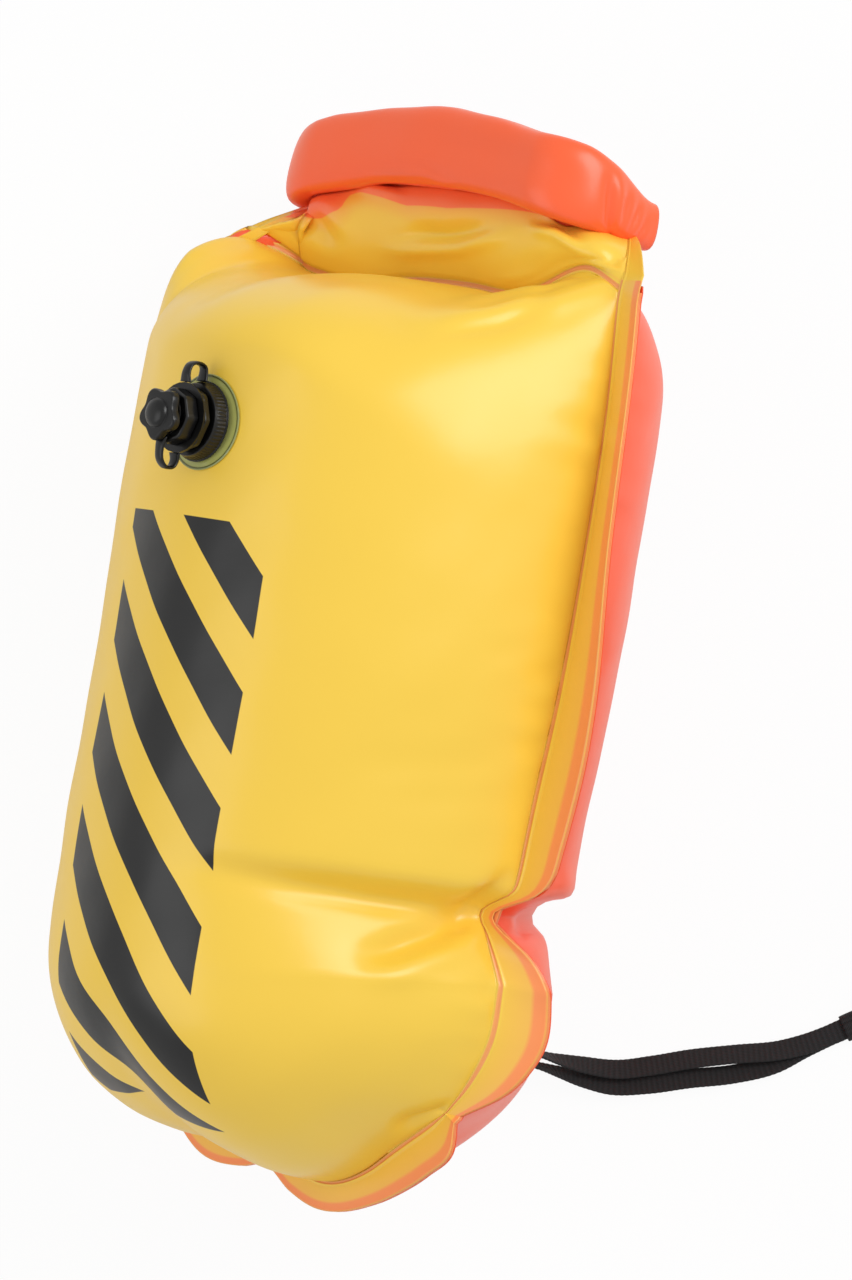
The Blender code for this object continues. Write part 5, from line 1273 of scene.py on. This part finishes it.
def round_bar(end, away, thick_way, tail):
    """A strap's end from its stitched tail round a buckle's outer bar to where it leaves along the belt."""
    ply = WEB_THICK * 0.55
    outline = [
        (tail, -ply), (0.0065, -ply - 0.0004), (0.003, -BAR_HALF), (-0.0015, -BAR_HALF - ply),
        (-0.0048, -BAR_HALF * 0.75), (-0.0056, 0.0), (-0.0048, BAR_HALF * 0.75),
        (-0.0015, BAR_HALF + ply), (0.003, BAR_HALF), (0.0065, ply + 0.0004),
    ]
    return [end + away * x + thick_way * z for x, z in outline]


def outer_run(first, last, count):
    return [outer_strand(turn) for turn in np.linspace(first, last, count)]


buckle_middle = outer_strand(BUCKLE_DEG)
buckle_out = (buckle_middle - belt_centre).normalized()
buckle_way = UP.cross(buckle_out)
male_bar = buckle_middle + buckle_way * BUCKLE_HALF
female_bar = buckle_middle - buckle_way * BUCKLE_HALF
# the stretch between the slider and the buckle's male half is a strap of its own, carried by no body
end_route = round_bar(male_bar, buckle_way, -buckle_out, BELT_TAIL)
end_route += outer_run(BUCKLE_DEG + BUCKLE_CLEAR_DEG, BELT_END_DEG, 3)
belt_end, _ = strap("waist_belt_buckle_end", "waist_belt", end_route, UP, BELT_WIDTH, body=None)
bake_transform(belt_end)
mouth_end = 360 - BELT_MOUTH_DEG
belt_route = outer_run(BELT_END_DEG, mouth_end, 20) + belt_fold(mouth_end, -1)
inner_turns = np.linspace(mouth_end, BELT_MOUTH_DEG, 30)
belt_route += [belt_place(BELT_RADIUS - BELT_GAP, turn) for turn in inner_turns]
belt_route += belt_fold(BELT_MOUTH_DEG, 1) + outer_run(BELT_MOUTH_DEG, BUCKLE_DEG - BUCKLE_CLEAR_DEG, 6)
belt_route += round_bar(female_bar, -buckle_way, -buckle_out, BELT_TAIL)[::-1]
belt, belt_line = strap("waist_belt_strap", "waist_belt", belt_route, UP, BELT_WIDTH)

# Collar tabs: black webbing sewn into the roll's two ends. Each is bent back behind the bag, and goes round
# the bar of its half of the buckle.
TAB_WIDTH = 0.0225
TAB_BEND = 0.008
TAB_LOW = {-1: 0.004, 1: 0.0086}
TAB_INSET = 0.006
TAB_TAIL = 0.022
COLLAR_BUCKLE_LEVEL = -0.0583
for hand, label in ((-1, "left"), (1, "right")):
    roll_end, _ = roll_path(np.array(hand * ROLL_HALF_LENGTH))
    x, y, z = roll_end - np.array([0, TAB_LOW[hand], 0.0004])
    bent = [Vector((x, y, z + TAB_INSET)), Vector((x, y, z))]
    for degrees in (25, 50, 78):
        turn = math.radians(degrees)
        bent.append(Vector((x - hand * TAB_BEND * (1 - math.cos(turn)), y, z - TAB_BEND * math.sin(turn))))
    buckle_end = Vector((hand * BUCKLE_HALF, ROLL_HEIGHT, COLLAR_BUCKLE_LEVEL))
    halfway = bent[-1].lerp(buckle_end + Vector((hand * TAB_TAIL, 0, 0)), 0.5)
    bar_turn = round_bar(buckle_end, Vector((hand, 0, 0)), UP, TAB_TAIL)[::-1]
    tab_route = [BAG @ point for point in bent + [halfway] + bar_turn]
    tab, _ = strap(
        "collar_" + label + "_strap", "collar_" + label + "_tab", tab_route, BAG.to_3x3() @ Vector((0, 1, 0)),
        TAB_WIDTH, body="buoy" if hand < 0 else None,
    )
    if hand > 0:
        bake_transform(tab)

# Leash anchor: an orange PVC disc welded low on the back, a lug of webbing stitched through it, and a D-ring
# of black coated steel wire that the lug holds.
PATCH_RADIUS = 0.028
PATCH_HOLE = 0.0034
PATCH_LIFT = 0.0012
LUG_WIDTH = 0.016
LUG_FOOT = 0.014
LUG_THICK = 0.0012
LUG_TURN_STEPS = 6
anchor_seat = Matrix((ANCHOR_ACROSS, ANCHOR_UP, ANCHOR_OUT)).transposed().to_4x4()
anchor_seat.translation = ANCHOR_ORIGIN
laid_disc(
    "anchor_disc", anchor_seat, back_film, PATCH_HOLE, PATCH_RADIUS, PATCH_LIFT, 0.0003,
    COLLAR_PVC, "anchor_patch",
)
lug_base = 0.0019 + LUG_THICK / 2
lug_eye = RING_WIRE + CLEAR + LUG_THICK / 2
lug_outline = [(-LUG_FOOT, lug_base), (-lug_eye * 1.6, lug_base)]
for step in range(LUG_TURN_STEPS + 1):
    turn = math.radians(200 - 220 * step / LUG_TURN_STEPS)
    lug_outline.append((lug_eye * math.cos(turn), lug_base + lug_eye + lug_eye * math.sin(turn)))
lug_outline += [(lug_eye * 1.6, lug_base), (LUG_FOOT, lug_base)]
strap(
    "anchor_strap", "anchor_lug", [anchor_seat @ Vector((0, y, z)) for y, z in lug_outline], ANCHOR_ACROSS,
    LUG_WIDTH, LUG_THICK,
)
# coated steel wire: the satin black of its coat over a dull metal gleam
BLACK_STEEL, _, _ = new_material(
    "black_coated_steel", {"Base Color": colour("17181A"), "Metallic": 0.4, "Roughness": 0.32}
)
finish_node(frame["nodes"]["anchor_ring"], BLACK_STEEL)

# Floor: a plain white table top that fills the picture. It shows white and keeps a faint shadow.
FLOOR_HALF = 3.0
FLOOR_GLOW_SHARE = 0.94
WHITE_FLOOR, floor_tree, floor_shader = new_material(
    "white_floor", {"Base Color": colour("F4F3F1"), "Roughness": 0.8}
)
glow = add_node(floor_tree, "ShaderNodeEmission", links={"Color": (1, 1, 1, 1), "Strength": 1.0})
ray = add_node(floor_tree, "ShaderNodeLightPath").outputs["Is Camera Ray"]
part = add_node(floor_tree, "ShaderNodeMath", {"operation": "MULTIPLY"}, {0: ray, 1: FLOOR_GLOW_SHARE})
blend = add_node(
    floor_tree, "ShaderNodeMixShader",
    links={0: part.outputs[0], 1: floor_shader.outputs[0], 2: glow.outputs[0]},
)
floor_tree.links.new(blend.outputs[0], floor_tree.nodes["Material Output"].inputs["Surface"])
corners = [(x * FLOOR_HALF, y * FLOOR_HALF, 0) for x, y in ((-1, -1), (1, -1), (1, 1), (-1, 1))]
new_piece("floor", corners, [(0, 1, 2, 3)], WHITE_FLOOR)

# World and lamps: a pale room with one broad soft lamp up and to the right of the picture, and a weak one
# opposite.
world = bpy.data.worlds.new("pale_room")
bpy.context.scene.world = world
world.use_nodes = True
room = world.node_tree.nodes["Background"]
room.inputs["Color"].default_value = (1, 1, 1, 1)
room.inputs["Strength"].default_value = 0.62


def soft_lamp(name, place, size, watts):
    """A square soft box that faces the bag's middle."""
    data = bpy.data.lights.new(name, "AREA")
    data.energy = watts
    data.size = size
    lamp = bpy.data.objects.new(name, data)
    lamp.location = place
    lamp.rotation_euler = (Vector((0, 0, MIDDLE_HEIGHT)) - Vector(place)).to_track_quat("-Z", "Y").to_euler()
    bpy.context.scene.collection.objects.link(lamp)


soft_lamp("key_lamp", (0.9, 0.9, 1.5), 1.0, 15)
soft_lamp("fill_lamp", (-1.4, -0.4, 1.2), 1.2, 5)

bpy.context.scene.view_settings.view_transform = "Standard"
